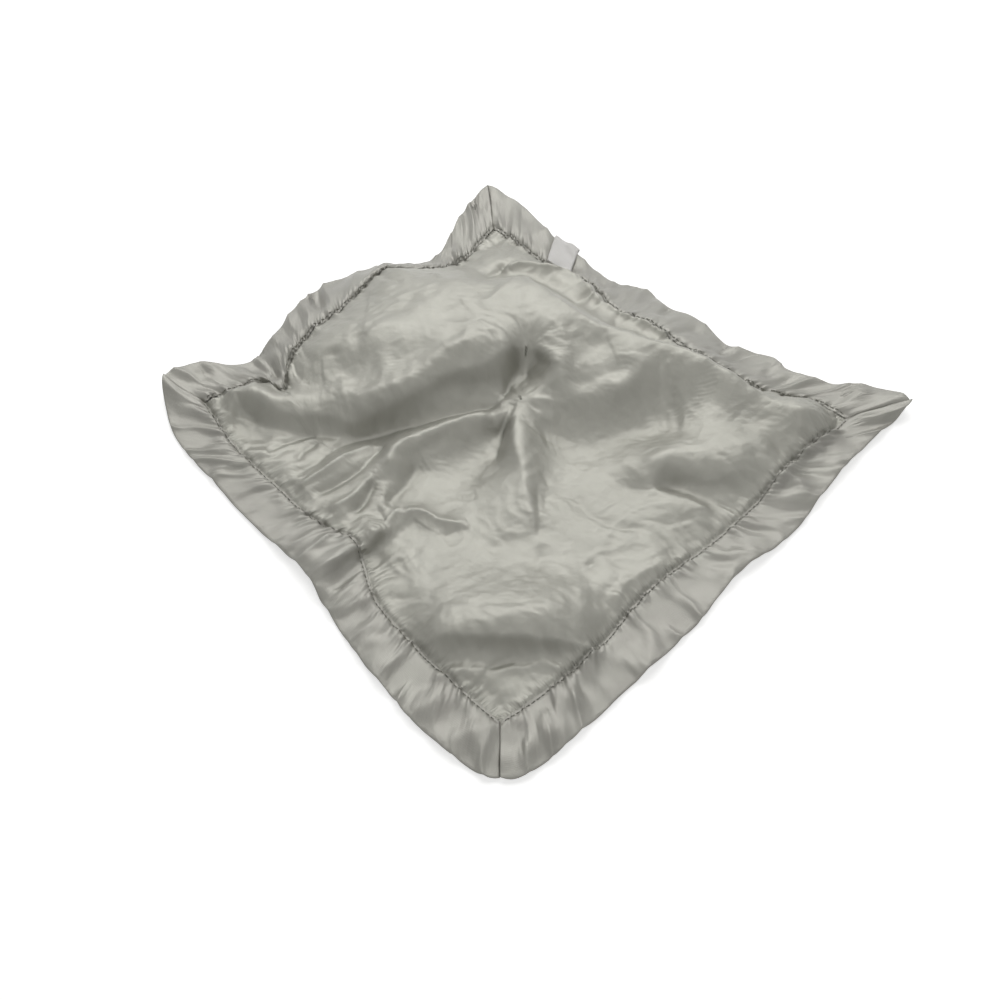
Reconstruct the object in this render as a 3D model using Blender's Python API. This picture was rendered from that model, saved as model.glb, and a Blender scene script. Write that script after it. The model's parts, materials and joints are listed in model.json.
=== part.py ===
"""A satin backed comfort blanket with a soft toy head, lying satin side up over the head.

The blanket's edges run along X and Y and its corners are called left (-X -Y), front (+X -Y),
right (+X +Y) and back (-X +Y). It lies on the plane Z = 0 and is centred on the Z axis.
"""

import math

import bmesh
import bpy
import numpy as np
from mathutils import Matrix, Vector

# Driving dimensions of the cloth, in metres
PANEL_HALF = 0.145  # half the side of the flat panel; the fold tables below are shares of it
SATIN_THICKNESS = 0.0008
PLUSH_THICKNESS = 0.003  # backing and pile
PLUSH_SEAM_THICKNESS = 0.0016  # where the ribbon presses the pile flat
RIBBON_THICKNESS = 0.001  # one leaf of the folded satin ribbon, with its turned edge
RIBBON_HALF_SPACE = 0.0005  # half the air between the two leaves outside the panel
RIBBON_FOLD_THICKNESS = 0.0016  # both leaves together at the outer fold
TUCK_DEPTH = 0.0085  # how far the panels reach into the ribbon
RIBBON_WIDTH = 0.031  # when flat, from the seam to the outer fold
GAP = 0.0003  # between cloths that touch
FLAT_DEPTH = 0.0004  # how far the resting undersides are pressed flat
HEM_DROP = 0.0018  # of the outer fold's middle under the seam's, where both lie on the table
MITRE_GAP = 0.0012  # between the ends of two ribbons at a corner
NORMAL_STEP = 0.004  # distance over which the cloth's slope is taken

# Driving dimensions of the thread and the label
THREAD_RADIUS = 0.0004
STITCH_INSET = 0.003  # from the ribbon's inner edge to its row of stitches
TACK_LENGTH = 0.007
LABEL_WIDTH = 0.018
LABEL_OVERHANG = 0.002  # past the ribbon's outer fold
LABEL_LEAF = 0.0004
LABEL_GAP = 0.0004

# Driving dimensions of the head
HEAD_LENGTH = 0.098  # crown to neck
HEAD_WIDTH = 0.071
HEAD_DEPTH = 0.024
HEAD_CLEARANCE = 0.0059  # between the head's top and the plush over it
SKIN_THICKNESS = 0.0012
NECK_SEAT = 0.0009  # of the neck under the plush panel, room for the head to turn
EAR_LENGTH = 0.026
EAR_WIDTH = 0.025
EAR_DEPTH = 0.0066
EAR_DROP = 0.008  # of the ears' middles under the head's middle
EAR_REACH = 0.011  # from an ear's root to its middle
EAR_CLEARANCE = 0.0008  # lets an ear fold
LINING_DEPTH = 0.0024
MUZZLE_LENGTH = 0.026
MUZZLE_WIDTH = 0.032
MUZZLE_DEPTH = 0.0128
MUZZLE_SET = 0.0021  # of the muzzle's middle into the head
NOSE_LENGTH = 0.0075
NOSE_WIDTH = 0.011
NOSE_DEPTH = 0.0026
EYE_WIDTH = 0.0072
EYE_DEPTH = 0.0022
EYE_SPACING = 0.026

# How finely the cloth, the head and the threads are faceted
PANEL_CELLS = 22
HEAD_SIDES = 24
THREAD_SIDES = 4

# The face is down, so the head lies on its nose; heights over the table of the pieces' middles
MUZZLE_HEIGHT = (MUZZLE_DEPTH + NOSE_DEPTH) / 2
HEAD_HEIGHT = MUZZLE_HEIGHT + HEAD_DEPTH / 2 - MUZZLE_SET
EAR_HEIGHT = HEAD_HEIGHT - EAR_DROP

# The height of the cloth's middle where it lies on the table, and how far the head lifts it
CLOTH_REST = GAP / 2 + PLUSH_SEAM_THICKNESS + GAP + RIBBON_THICKNESS - FLAT_DEPTH
HEAD_TOP = HEAD_HEIGHT + HEAD_DEPTH / 2
DRAPE_HEIGHT = HEAD_TOP + HEAD_CLEARANCE + PLUSH_THICKNESS + GAP / 2 - CLOTH_REST

# The seam between panel and ribbon on each side, as (x share, y share, height share)
SEAM_SHARES = {
    "front": [(-0.81, -0.81, 0.01), (-0.52, -0.87, 0.04), (-0.26, -0.88, 0.01), (-0.07, -0.89, 0.04),
              (0.14, -0.86, 0.04), (0.20, -0.88, 0.0), (0.38, -0.97, 0.01), (0.62, -1.0, 0.01),
              (0.84, -1.01, 0.0), (1.02, -1.01, 0.0)],
    "right": [(1.02, -1.01, 0.0), (1.04, -0.84, 0.0), (1.05, -0.61, 0.01), (1.01, -0.27, 0.03),
              (1.03, 0.02, 0.01), (1.03, 0.27, 0.01), (1.01, 0.51, 0.04), (1.01, 0.89, 0.01)],
    "back": [(-0.76, 0.73, 0.01), (-0.59, 0.72, 0.07), (-0.44, 0.70, 0.12), (-0.30, 0.71, 0.16),
             (-0.14, 0.70, 0.20), (-0.04, 0.66, 0.26), (0.06, 0.64, 0.30), (0.18, 0.67, 0.33),
             (0.44, 0.68, 0.28), (0.62, 0.72, 0.18), (0.71, 0.75, 0.12), (0.86, 0.86, 0.04),
             (1.01, 0.89, 0.01)],
    "left": [(-0.81, -0.81, 0.01), (-0.76, -0.69, 0.07), (-0.73, -0.59, 0.09), (-0.61, -0.57, 0.12),
             (-0.70, -0.46, 0.26), (-0.75, -0.32, 0.29), (-0.77, -0.11, 0.34), (-0.79, 0.12, 0.48),
             (-0.70, 0.27, 0.37), (-0.67, 0.42, 0.10), (-0.76, 0.73, 0.01)],
}

# The ribbon's outer fold on each side, for a ribbon as wide as this share of PANEL_HALF
TABLE_RIBBON_SHARE = 0.2138
HEM_SHARES = {
    "front": [(-1.01, -0.86, 0.21), (-0.90, -0.93, 0.01), (-0.73, -1.0, -0.05), (-0.29, -1.05, -0.05),
              (0.15, -1.08, 0.01), (0.25, -1.11, -0.05), (0.42, -1.15, -0.05), (0.66, -1.19, -0.05),
              (0.85, -1.21, -0.05), (1.05, -1.20, -0.05), (1.18, -1.17, -0.05)],
    "right": [(1.18, -1.17, -0.05), (1.22, -1.05, -0.05), (1.23, -0.76, -0.05), (1.22, -0.24, -0.05),
              (1.19, 0.01, -0.05), (1.21, 0.28, -0.05), (1.17, 0.57, -0.05), (1.15, 0.85, -0.05),
              (1.15, 1.14, 0.07)],
    "back": [(-0.99, 0.92, 0.04), (-0.80, 0.94, -0.05), (-0.55, 0.88, -0.04), (-0.28, 0.85, -0.05),
             (-0.14, 0.83, 0.01), (-0.02, 0.91, -0.05), (0.10, 0.87, 0.01), (0.27, 0.90, -0.02),
             (0.44, 0.88, 0.01), (0.61, 0.96, -0.05), (0.68, 0.94, 0.0), (0.86, 1.01, -0.05),
             (0.99, 1.10, 0.01), (1.15, 1.14, 0.07)],
    "left": [(-1.01, -0.86, 0.21), (-0.98, -0.70, 0.04), (-0.87, -0.53, -0.05), (-0.94, -0.25, 0.09),
             (-0.99, -0.01, 0.07), (-0.88, 0.19, 0.15), (-0.79, 0.32, 0.0), (-0.82, 0.48, -0.05),
             (-0.93, 0.70, -0.05), (-0.99, 0.92, 0.04)],
}

# The folds of the panel: crests, creases and feet of slopes, as the same kind of shares
FOLD_SHARES = [
    # crest along the near side of the head, from the left corner to the rear tack
    [(-0.72, -0.72, 0.26), (-0.55, -0.66, 0.34), (-0.37, -0.51, 0.46), (-0.26, -0.46, 0.48),
     (-0.18, -0.25, 0.82), (-0.15, -0.16, 0.9), (-0.09, -0.01, 0.9), (-0.03, 0.10, 0.73),
     (0.0, 0.15, 0.48)],
    # crease at its foot, from the left corner to the front tack
    [(-0.65, -0.74, 0.07), (-0.50, -0.70, 0.15), (-0.28, -0.51, 0.26), (-0.06, -0.25, 0.32),
     (0.07, -0.06, 0.37), (0.12, 0.0, 0.43)],
    # crease between the two tacks
    [(0.0, 0.15, 0.48), (0.05, 0.01, 0.40), (0.07, -0.06, 0.37)],
    # top of the mound over the head
    [(-0.58, -0.35, 0.62), (-0.45, -0.25, 0.79), (-0.39, -0.15, 0.90), (-0.32, -0.05, 0.96),
     (-0.23, 0.13, 0.98)],
    # its near shoulder
    [(-0.50, -0.44, 0.50), (-0.36, -0.40, 0.55), (-0.26, -0.34, 0.67), (-0.20, -0.22, 0.86)],
    [(-0.52, -0.30, 0.66), (-0.40, -0.26, 0.73), (-0.30, -0.20, 0.85)],
    # its far shoulder
    [(-0.69, -0.15, 0.51), (-0.62, -0.02, 0.71), (-0.53, 0.09, 0.87), (-0.43, 0.21, 0.93)],
    # its far foot
    [(-0.70, 0.13, 0.65), (-0.60, 0.26, 0.54)],
    # ridge from the mound to the right corner
    [(-0.27, 0.15, 1.0), (-0.26, 0.31, 0.98), (-0.22, 0.38, 0.98), (-0.08, 0.38, 0.93),
     (0.17, 0.45, 0.82), (0.35, 0.54, 0.71), (0.63, 0.62, 0.54), (0.89, 0.67, 0.34),
     (0.96, 0.74, 0.26), (0.92, 0.82, 0.21)],
    # steep drop behind the ridge
    [(-0.27, 0.43, 0.76), (-0.20, 0.47, 0.65), (0.11, 0.53, 0.46), (0.46, 0.66, 0.34),
     (0.70, 0.69, 0.26)],
    # second crest along the back seam
    [(-0.48, 0.52, 0.43), (-0.42, 0.58, 0.40), (-0.33, 0.62, 0.38), (-0.13, 0.63, 0.36),
     (0.0, 0.59, 0.37), (0.12, 0.60, 0.38)],
    # hollow between the ridge and the second crest
    [(-0.44, 0.46, 0.39), (-0.35, 0.54, 0.35), (-0.22, 0.56, 0.33), (-0.10, 0.55, 0.34)],
    # shoulder in front of the ridge
    [(0.18, 0.15, 0.73), (0.27, 0.22, 0.71), (0.36, 0.30, 0.68), (0.38, 0.41, 0.71), (0.39, 0.54, 0.68)],
    [(0.08, 0.26, 0.84), (0.19, 0.36, 0.79)],
    # foot of that shoulder
    [(0.26, 0.0, 0.21), (0.44, 0.16, 0.15), (0.54, 0.30, 0.18), (0.52, 0.44, 0.26), (0.57, 0.52, 0.37)],
    # flat middle of the panel
    [(0.55, 0.21, 0.18), (0.65, 0.38, 0.21), (0.77, 0.52, 0.26)],
    [(0.57, -0.04, 0.15), (0.76, -0.25, 0.15), (0.80, -0.08, 0.15), (0.92, 0.05, 0.12)],
    [(0.91, -0.41, 0.18), (0.72, -0.41, 0.15), (0.57, -0.56, 0.15), (0.45, -0.69, 0.15)],
    # flat stretch beside the front ribbon
    [(-0.42, -0.83, 0.07), (-0.25, -0.79, 0.12), (-0.18, -0.66, 0.18), (-0.03, -0.64, 0.15),
     (-0.01, -0.75, 0.12)],
    # crest and foot of the fold across the front corner
    [(0.62, -0.93, 0.15), (0.78, -0.79, 0.23), (0.92, -0.65, 0.22), (0.99, -0.53, 0.15)],
    [(0.62, -0.99, 0.04), (0.69, -0.99, 0.04), (0.81, -0.90, 0.04), (0.96, -0.70, 0.04)],
    [(0.94, -0.93, 0.03)],
    # crest and foot of the fold inside the right ribbon
    [(0.68, 0.0, 0.15), (0.71, 0.11, 0.32), (0.73, 0.17, 0.34), (0.85, 0.24, 0.32), (0.90, 0.37, 0.29),
     (0.93, 0.47, 0.23)],
    [(0.74, 0.12, 0.11), (0.81, 0.15, 0.09), (0.90, 0.19, 0.09), (0.97, 0.31, 0.09)],
    [(0.76, 0.05, 0.16), (0.86, 0.09, 0.16), (0.95, 0.13, 0.09)],
    # slope down to the right corner
    [(0.89, 0.65, 0.32), (0.95, 0.52, 0.09)],
    [(0.99, 0.68, 0.07)],
    # pleat below the crease and its foot
    [(0.12, -0.10, 0.40), (0.04, -0.22, 0.40), (-0.04, -0.47, 0.29), (-0.01, -0.58, 0.21)],
    [(0.14, -0.13, 0.18), (0.10, -0.25, 0.15), (0.06, -0.41, 0.15), (0.10, -0.57, 0.12)],
    # fold that runs from the front tack towards the front corner, and its two feet
    [(0.19, -0.10, 0.37), (0.29, -0.19, 0.34), (0.55, -0.38, 0.21)],
    [(0.33, -0.08, 0.18), (0.50, -0.24, 0.15)],
    [(0.20, -0.18, 0.21), (0.28, -0.27, 0.18)],
]

SURVEY_SPACING_SHARE = 0.07  # of PANEL_HALF, between the points read from a fold
SURVEY_NEAREST_SHARE = 0.02
SURVEY_STIFFNESS_SHARE = 2e-4  # evens out points that disagree
REAR_TACK_SHARES = (0.0, 0.15)
FRONT_TACK_SHARES = (0.12, 0.0)
LABEL_PLACE_SHARE = 0.245  # along the back seam, from the back corner

# The head: the way to its crown and the place of its neck in plan, and its sections from
# crown to neck as (place along the head, width, depth, height of the middle): shares of the
# head's sizes, and for the height of the way from the neck's height to the head's
CROWN_SHARES = (-0.64, -0.125)
NECK_SHARES = (0.02, 0.105)
SECTION_SHARES = [(0.0, 0.0, 0.0, 0.61), (0.035, 0.38, 0.40, 0.66), (0.11, 0.68, 0.70, 0.78),
                  (0.24, 0.91, 0.92, 0.92), (0.40, 1.0, 1.0, 1.0), (0.56, 0.98, 1.0, 1.0),
                  (0.70, 0.82, 0.86, 0.86), (0.82, 0.56, 0.68, 0.61), (0.92, 0.34, 0.54, 0.24),
                  (1.0, 0.25, 0.45, 0.0)]
EAR_PLACE_SHARE = 0.19  # along the head
EAR_ROOT_SHARE = 0.9  # of the head's half width there, out to the ear's root
MUZZLE_PLACE_SHARE = 0.62
EYE_PLACE_SHARE = 0.40
NOSE_PLACE_SHARE = 0.56
LINING_SIZE_SHARE = 0.66  # of the ear
LINING_SHIFT_SHARE = 0.1  # of the ear's length, towards its tip
MOUTH_FORWARD_SHARE = 0.28  # of the muzzle's length, from its middle to the mouth's
MOUTH_BEND_SHARE = 0.1
MOUTH_WIDTH_SHARE = 0.44  # of the muzzle's width
EAR_SPREAD = math.radians(42)  # between an ear and the head's long axis
REAR_TACK_HEADING = math.radians(120)
FRONT_TACK_HEADING = math.radians(150)

SIDES = ("front", "right", "back", "left")


def clear_scene():
    for obj in list(bpy.data.objects):
        bpy.data.objects.remove(obj)


def carry(name, place, pieces, carrier=None, carrier_place=(0.0, 0.0, 0.0)):
    """Hang pieces that move together on an empty that sits on their joint's axis."""
    empty = bpy.data.objects.new(name, None)
    bpy.context.scene.collection.objects.link(empty)
    empty.parent = carrier
    empty.location = Vector(place) - Vector(carrier_place)
    for piece in pieces:
        piece.parent = empty
        piece.location = piece.location - Vector(place)
    return empty


def fabric(name, color, roughness):
    material = bpy.data.materials.new(name)
    material.use_nodes = True
    shader = material.node_tree.nodes["Principled BSDF"]
    shader.inputs["Base Color"].default_value = (*color, 1.0)
    shader.inputs["Roughness"].default_value = roughness
    return material


def add_mesh(name, points, faces, material):
    mesh = bpy.data.meshes.new(name)
    mesh.from_pydata([tuple(float(c) for c in p) for p in points], [], faces)
    mesh.update()
    mesh.shade_smooth()
    mesh.set_sharp_from_angle(angle=math.radians(50))
    mesh.materials.append(material)
    obj = bpy.data.objects.new(name, mesh)
    bpy.context.scene.collection.objects.link(obj)
    return obj


def facing_out(obj):
    mesh = bmesh.new()
    mesh.from_mesh(obj.data)
    bmesh.ops.recalc_face_normals(mesh, faces=mesh.faces)
    mesh.to_mesh(obj.data)
    mesh.free()
    return obj


# The draped shape

def along(points, places):
    """A smooth line through the points, read at places from 0 to 1 along its plan."""
    p = np.asarray(points, float)
    reach = np.concatenate([[0.0], np.cumsum(np.hypot(*np.diff(p[:, :2], axis=0).T))])
    reach /= reach[-1]
    slope = np.zeros_like(p)
    slope[1:-1] = (p[2:] - p[:-2]) / (reach[2:] - reach[:-2])[:, None]
    slope[0] = (p[1] - p[0]) / (reach[1] - reach[0])
    slope[-1] = (p[-1] - p[-2]) / (reach[-1] - reach[-2])
    places = np.clip(np.asarray(places, float), 0.0, 1.0)
    i = np.clip(np.searchsorted(reach, places, side="right") - 1, 0, len(reach) - 2)
    span = (reach[i + 1] - reach[i])[..., None]
    t = (places - reach[i])[..., None] / span
    return ((2 * t**3 - 3 * t**2 + 1) * p[i] + (t**3 - 2 * t**2 + t) * span * slope[i]
            + (3 * t**2 - 2 * t**3) * p[i + 1] + (t**3 - t**2) * span * slope[i + 1])


def survey_points():
    """Points read at even distances along every seam, hem and fold."""
    found = []
    for line in [*SEAM_SHARES.values(), *HEM_SHARES.values(), *FOLD_SHARES]:
        line = np.asarray(line, float)
        reach = np.concatenate([[0.0], np.cumsum(np.hypot(*np.diff(line[:, :2], axis=0).T))])
        count = max(1, math.ceil(reach[-1] / SURVEY_SPACING_SHARE) + 1)
        stops = np.linspace(0.0, reach[-1], count)
        for point in np.stack([np.interp(stops, reach, line[:, k]) for k in range(3)], axis=1):
            if all(math.hypot(*(point[:2] - q[:2])) > SURVEY_NEAREST_SHARE for q in found):
                found.append(point)
    return np.array(found)


def plate_kernel(squared):
    return 0.5 * squared * np.log(squared + 1e-12)


class DrapedHeight:
    """The thin plate that passes over all survey points: height share from plan shares."""

    def __init__(self):
        self.points = survey_points()
        n = len(self.points)
        plan = self.points[:, :2]
        bend = plate_kernel(((plan[:, None] - plan[None]) ** 2).sum(-1))
        bend += SURVEY_STIFFNESS_SHARE * np.eye(n)
        flat = np.c_[np.ones(n), plan]
        system = np.block([[bend, flat], [flat.T, np.zeros((3, 3))]])
        solved = np.linalg.solve(system, np.r_[self.points[:, 2], np.zeros(3)])
        self.weights = solved[:n]
        self.plane = solved[n:]

    def at(self, plan):
        plan = np.asarray(plan, float)
        flat = plan.reshape(-1, 2)
        squared = ((flat[:, None] - self.points[None, :, :2]) ** 2).sum(-1)
        height = plate_kernel(squared) @ self.weights + self.plane[0] + flat @ self.plane[1:]
        return height.reshape(plan.shape[:-1])


DRAPE = DrapedHeight()


def panel_plan(u, v):
    """Plan shares of the panel at u along X and v along Y, filled in between its four seams."""
    front, back = along(SEAM_SHARES["front"], u)[..., :2], along(SEAM_SHARES["back"], u)[..., :2]
    left, right = along(SEAM_SHARES["left"], v)[..., :2], along(SEAM_SHARES["right"], v)[..., :2]
    corner = {key: np.array(SEAM_SHARES[side][end][:2]) for key, side, end in
              (("left", "front", 0), ("front", "front", -1), ("back", "back", 0), ("right", "back", -1))}
    u, v = np.asarray(u)[..., None], np.asarray(v)[..., None]
    twice = ((1 - u) * (1 - v) * corner["left"] + u * (1 - v) * corner["front"]
             + (1 - u) * v * corner["back"] + u * v * corner["right"])
    return (1 - v) * front + v * back + (1 - u) * left + u * right - twice


def ribbon_plan(side, place, out):
    """Plan shares of the ribbon at a place along its side, from the seam, 0, to the hem, 1."""
    seam = along(SEAM_SHARES[side], place)[..., :2]
    hem = along(HEM_SHARES[side], place)[..., :2]
    width = RIBBON_WIDTH / (TABLE_RIBBON_SHARE * PANEL_HALF)
    return seam + (hem - seam) * width * np.asarray(out)[..., None]


def cloth(plan):
    """Points of the cloth's middle surface and its normals there, both in metres."""
    step = NORMAL_STEP / PANEL_HALF
    height = np.maximum(DRAPE.at(plan) * DRAPE_HEIGHT, -HEM_DROP)
    slope_x = (DRAPE.at(plan + [step, 0]) - DRAPE.at(plan - [step, 0])) * DRAPE_HEIGHT / (2 * NORMAL_STEP)
    slope_y = (DRAPE.at(plan + [0, step]) - DRAPE.at(plan - [0, step])) * DRAPE_HEIGHT / (2 * NORMAL_STEP)
    points = np.concatenate([plan * PANEL_HALF, (CLOTH_REST + height)[..., None]], axis=-1)
    normals = np.stack([-slope_x, -slope_y, np.ones_like(slope_x)], axis=-1)
    return points, normals / np.linalg.norm(normals, axis=-1, keepdims=True)


def raised(points, normals, lift):
    """The points moved along the normals, and kept above the table."""
    moved = points + normals * np.asarray(lift)[..., None]
    moved[..., 2] = np.maximum(moved[..., 2], 0.0)
    return moved


def rows_of(side, outs):
    """Middle points and normals of a ribbon, one row for each distance out from the seam."""
    places = np.linspace(0.0, 1.0, PANEL_CELLS + 1)
    return [cloth(ribbon_plan(side, places, np.full_like(places, out))) for out in outs]


def centre_of_plan():
    """The middle of the blanket's outline, which becomes the origin."""
    hems = np.concatenate([rows_of(side, [1.0])[0][0] for side in SIDES])
    return (hems.max(axis=0) + hems.min(axis=0)) / 2 * [1, 1, 0]


ORIGIN = centre_of_plan()

# Heights of the faces over the middle surface
SATIN_LOW, SATIN_HIGH = GAP / 2, GAP / 2 + SATIN_THICKNESS
LEAF_LOW, LEAF_HIGH = SATIN_HIGH + GAP, SATIN_HIGH + GAP + RIBBON_THICKNESS
PLUSH_HIGH, PLUSH_SEAM_LOW = -GAP / 2, -GAP / 2 - PLUSH_SEAM_THICKNESS
UNDER_HIGH, UNDER_LOW = PLUSH_SEAM_LOW - GAP, PLUSH_SEAM_LOW - GAP - RIBBON_THICKNESS
OUTER_HIGH = RIBBON_HALF_SPACE + RIBBON_THICKNESS
TUCK_SHARE = TUCK_DEPTH / RIBBON_WIDTH
LEAF_BEND_SHARE = 0.62  # where the leaves have come together
FOLD_INSIDE_SHARE = 0.93  # the inside of the outer fold


# Panels

def panel_layout():
    """Middle points and normals of a panel, and the triangles of its upper face.

    A square grid fills the seam line, and one ring more is tucked into the ribbon.
    """
    n = PANEL_CELLS
    steps = np.linspace(0.0, 1.0, n + 1)
    u, v = np.meshgrid(steps, steps, indexing="ij")
    inner, inner_normals = cloth(panel_plan(u, v))
    index = np.arange((n + 1) ** 2).reshape(n + 1, n + 1)
    rim = []
    border = []
    for side, turned in (("front", False), ("right", False), ("back", True), ("left", True)):
        points, normals = rows_of(side, [TUCK_SHARE])[0]
        seam = {"front": index[:, 0], "right": index[-1, :], "back": index[:, -1], "left": index[0, :]}[side]
        order = slice(None, None, -1) if turned else slice(None)
        for point, normal, at in list(zip(points[order], normals[order], seam[order]))[:-1]:
            rim.append((point, normal))
            border.append(int(at))
    first = (n + 1) ** 2
    faces = []
    for i in range(n):
        for j in range(n):
            a, b, c, d = index[i, j], index[i + 1, j], index[i + 1, j + 1], index[i, j + 1]
            faces += [(a, b, c), (a, c, d)]
    for k in range(len(border)):
        m = (k + 1) % len(border)
        faces += [(first + k, first + m, border[m]), (first + k, border[m], border[k])]
    points = np.concatenate([inner.reshape(-1, 3), [p for p, _ in rim]])
    normals = np.concatenate([inner_normals.reshape(-1, 3), [q for _, q in rim]])
    at_seam = np.zeros(len(points), bool)
    at_seam[border] = True
    at_seam[first:] = True
    return points, normals, [tuple(int(x) for x in f) for f in faces], at_seam


def add_panel(name, layout, high, low, material):
    """A cloth between two heights over the middle surface; the heights may vary by point."""
    points, normals, faces, _ = layout
    upper = raised(points, normals, np.broadcast_to(high, len(points)))
    lower = raised(points, normals, np.broadcast_to(low, len(points)))
    n = len(points)
    first = (PANEL_CELLS + 1) ** 2
    rim = list(range(first, n))
    under = [tuple(n + x for x in reversed(face)) for face in faces]
    wall = []
    for k, a in enumerate(rim):
        b = rim[(k + 1) % len(rim)]
        wall += [(a, n + a, n + b), (a, n + b, b)]
    return add_mesh(name, np.concatenate([upper, lower]) - ORIGIN, faces + under + wall, material)


# Ribbons

RIBBON_OUT_SHARES = (0.0, TUCK_SHARE, LEAF_BEND_SHARE, 1.0, FOLD_INSIDE_SHARE)
# The ribbon's section as (row out from the seam, height over the middle surface)
RIBBON_SECTION = [(0, LEAF_HIGH), (1, LEAF_HIGH), (2, OUTER_HIGH), (3, RIBBON_FOLD_THICKNESS / 2),
                  (3, -RIBBON_FOLD_THICKNESS / 2), (2, -OUTER_HIGH), (1, UNDER_LOW), (0, UNDER_LOW),
                  (0, UNDER_HIGH), (1, UNDER_HIGH), (2, -RIBBON_HALF_SPACE), (4, 0.0),
                  (2, RIBBON_HALF_SPACE), (1, LEAF_LOW), (0, LEAF_LOW)]
# Triangles that close the section at a ribbon's cut ends
SECTION_CAP = [(0, 13, 14), (0, 1, 13), (1, 12, 13), (1, 2, 12), (2, 11, 12), (2, 3, 11), (3, 4, 11),
               (4, 5, 11), (5, 10, 11), (5, 6, 10), (6, 9, 10), (6, 7, 9), (7, 8, 9)]


def ribbon_grid(side):
    """Points of the ribbon's surface: one row for each corner of its section, along the side."""
    rows = rows_of(side, RIBBON_OUT_SHARES)
    grid = np.stack([raised(*rows[row], np.full(PANEL_CELLS + 1, lift)) for row, lift in RIBBON_SECTION])
    for end, inward in ((0, 1), (-1, -2)):
        reach = grid[:, inward] - grid[:, end]
        length = np.linalg.norm(reach, axis=-1, keepdims=True)
        grid[:, end] = grid[:, end] + reach / length * (MITRE_GAP / 2 / math.sin(math.radians(45)))
    return grid


def add_ribbon(side, material):
    grid = ribbon_grid(side)
    rows, columns = grid.shape[:2]
    turned = side in ("back", "left")
    out_shares = [RIBBON_OUT_SHARES[row] for row, _ in RIBBON_SECTION]

    def at(row, column):
        return (row % rows) * columns + column

    faces = []
    for row in range(rows):
        for column in range(columns - 1):
            a, b = at(row, column), at(row + 1, column)
            c, d = at(row + 1, column + 1), at(row, column + 1)
            outwards = out_shares[(row + 1) % rows] > out_shares[row]
            faces += [(a, b, d), (b, c, d)] if outwards != turned else [(a, b, c), (a, c, d)]
    faces += [tuple(at(k, 0) for k in reversed(cap)) for cap in SECTION_CAP]
    faces += [tuple(at(k, columns - 1) for k in cap) for cap in SECTION_CAP]
    if turned:
        faces = [tuple(reversed(face)) for face in faces]
    return add_mesh("border_" + side, grid.reshape(-1, 3) - ORIGIN, faces, material)


# Threads

def add_thread(name, path, normals, radius, material, closed=False):
    """A thread of a few flat sides along the path; its first side faces the path's normal."""
    path, normals = np.asarray(path, float), np.asarray(normals, float)
    n = len(path)
    if closed:
        ahead = np.roll(path, -1, axis=0) - np.roll(path, 1, axis=0)
    else:
        ahead = np.gradient(path, axis=0)
    ahead /= np.linalg.norm(ahead, axis=-1, keepdims=True)
    across = np.cross(ahead, normals)
    across /= np.linalg.norm(across, axis=-1, keepdims=True)
    up = np.cross(across, ahead)
    turns = [math.tau * k / THREAD_SIDES for k in range(THREAD_SIDES)]
    points = np.stack([path + radius * (math.cos(t) * up + math.sin(t) * across) for t in turns], axis=1)
    faces = []
    for i in range(n if closed else n - 1):
        for k in range(THREAD_SIDES):
            a, b = i * THREAD_SIDES + k, i * THREAD_SIDES + (k + 1) % THREAD_SIDES
            c, d = (b + THREAD_SIDES) % (n * THREAD_SIDES), (a + THREAD_SIDES) % (n * THREAD_SIDES)
            faces.append((a, b, c, d))
    if not closed:
        faces.append(tuple(reversed(range(THREAD_SIDES))))
        faces.append(tuple((n - 1) * THREAD_SIDES + k for k in range(THREAD_SIDES)))
    return facing_out(add_mesh(name, points.reshape(-1, 3), faces, material))


def add_stitches(side, material):
    """The row of stitches that holds the ribbon's inner edge to the panels."""
    grid = ribbon_grid(side)
    _, normals = rows_of(side, [0.0])[0]
    share = STITCH_INSET / TUCK_DEPTH
    straight = grid[0] + (grid[1] - grid[0]) * share
    # each facet's diagonal runs between the outer row and the next point of the inner row
    first, last = (grid[0][:-1], grid[1][1:]) if side in ("back", "left") else (grid[0][1:], grid[1][:-1])
    creased = first + (last - first) * share
    path = np.empty((2 * len(straight) - 1, 3))
    path[::2], path[1::2] = straight, creased
    facing = np.empty_like(path)
    facing[::2], facing[1::2] = normals, (normals[1:] + normals[:-1]) / 2
    path = path + facing / np.linalg.norm(facing, axis=-1, keepdims=True) * (GAP + THREAD_RADIUS)
    path, facing = path[1:-1], facing[1:-1]
    return add_thread("stitches_" + side, path - ORIGIN, facing, THREAD_RADIUS, material)


def add_mitre(corner, side, end, material):
    """The seam that closes two ribbons at a corner, from the inner edge to the outer fold."""
    outs = (TUCK_SHARE / 2, TUCK_SHARE, LEAF_BEND_SHARE, 1 - TUCK_SHARE / 2)
    lifts = (LEAF_HIGH, LEAF_HIGH, OUTER_HIGH, OUTER_HIGH)
    path, normals = [], []
    for out, lift in zip(outs, lifts):
        points, sides = rows_of(side, [out])[0]
        path.append(points[end] + sides[end] * (lift + GAP + THREAD_RADIUS))
        normals.append(sides[end])
    return add_thread("mitre_stitches_" + corner, np.array(path) - ORIGIN, normals, THREAD_RADIUS, material)


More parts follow.
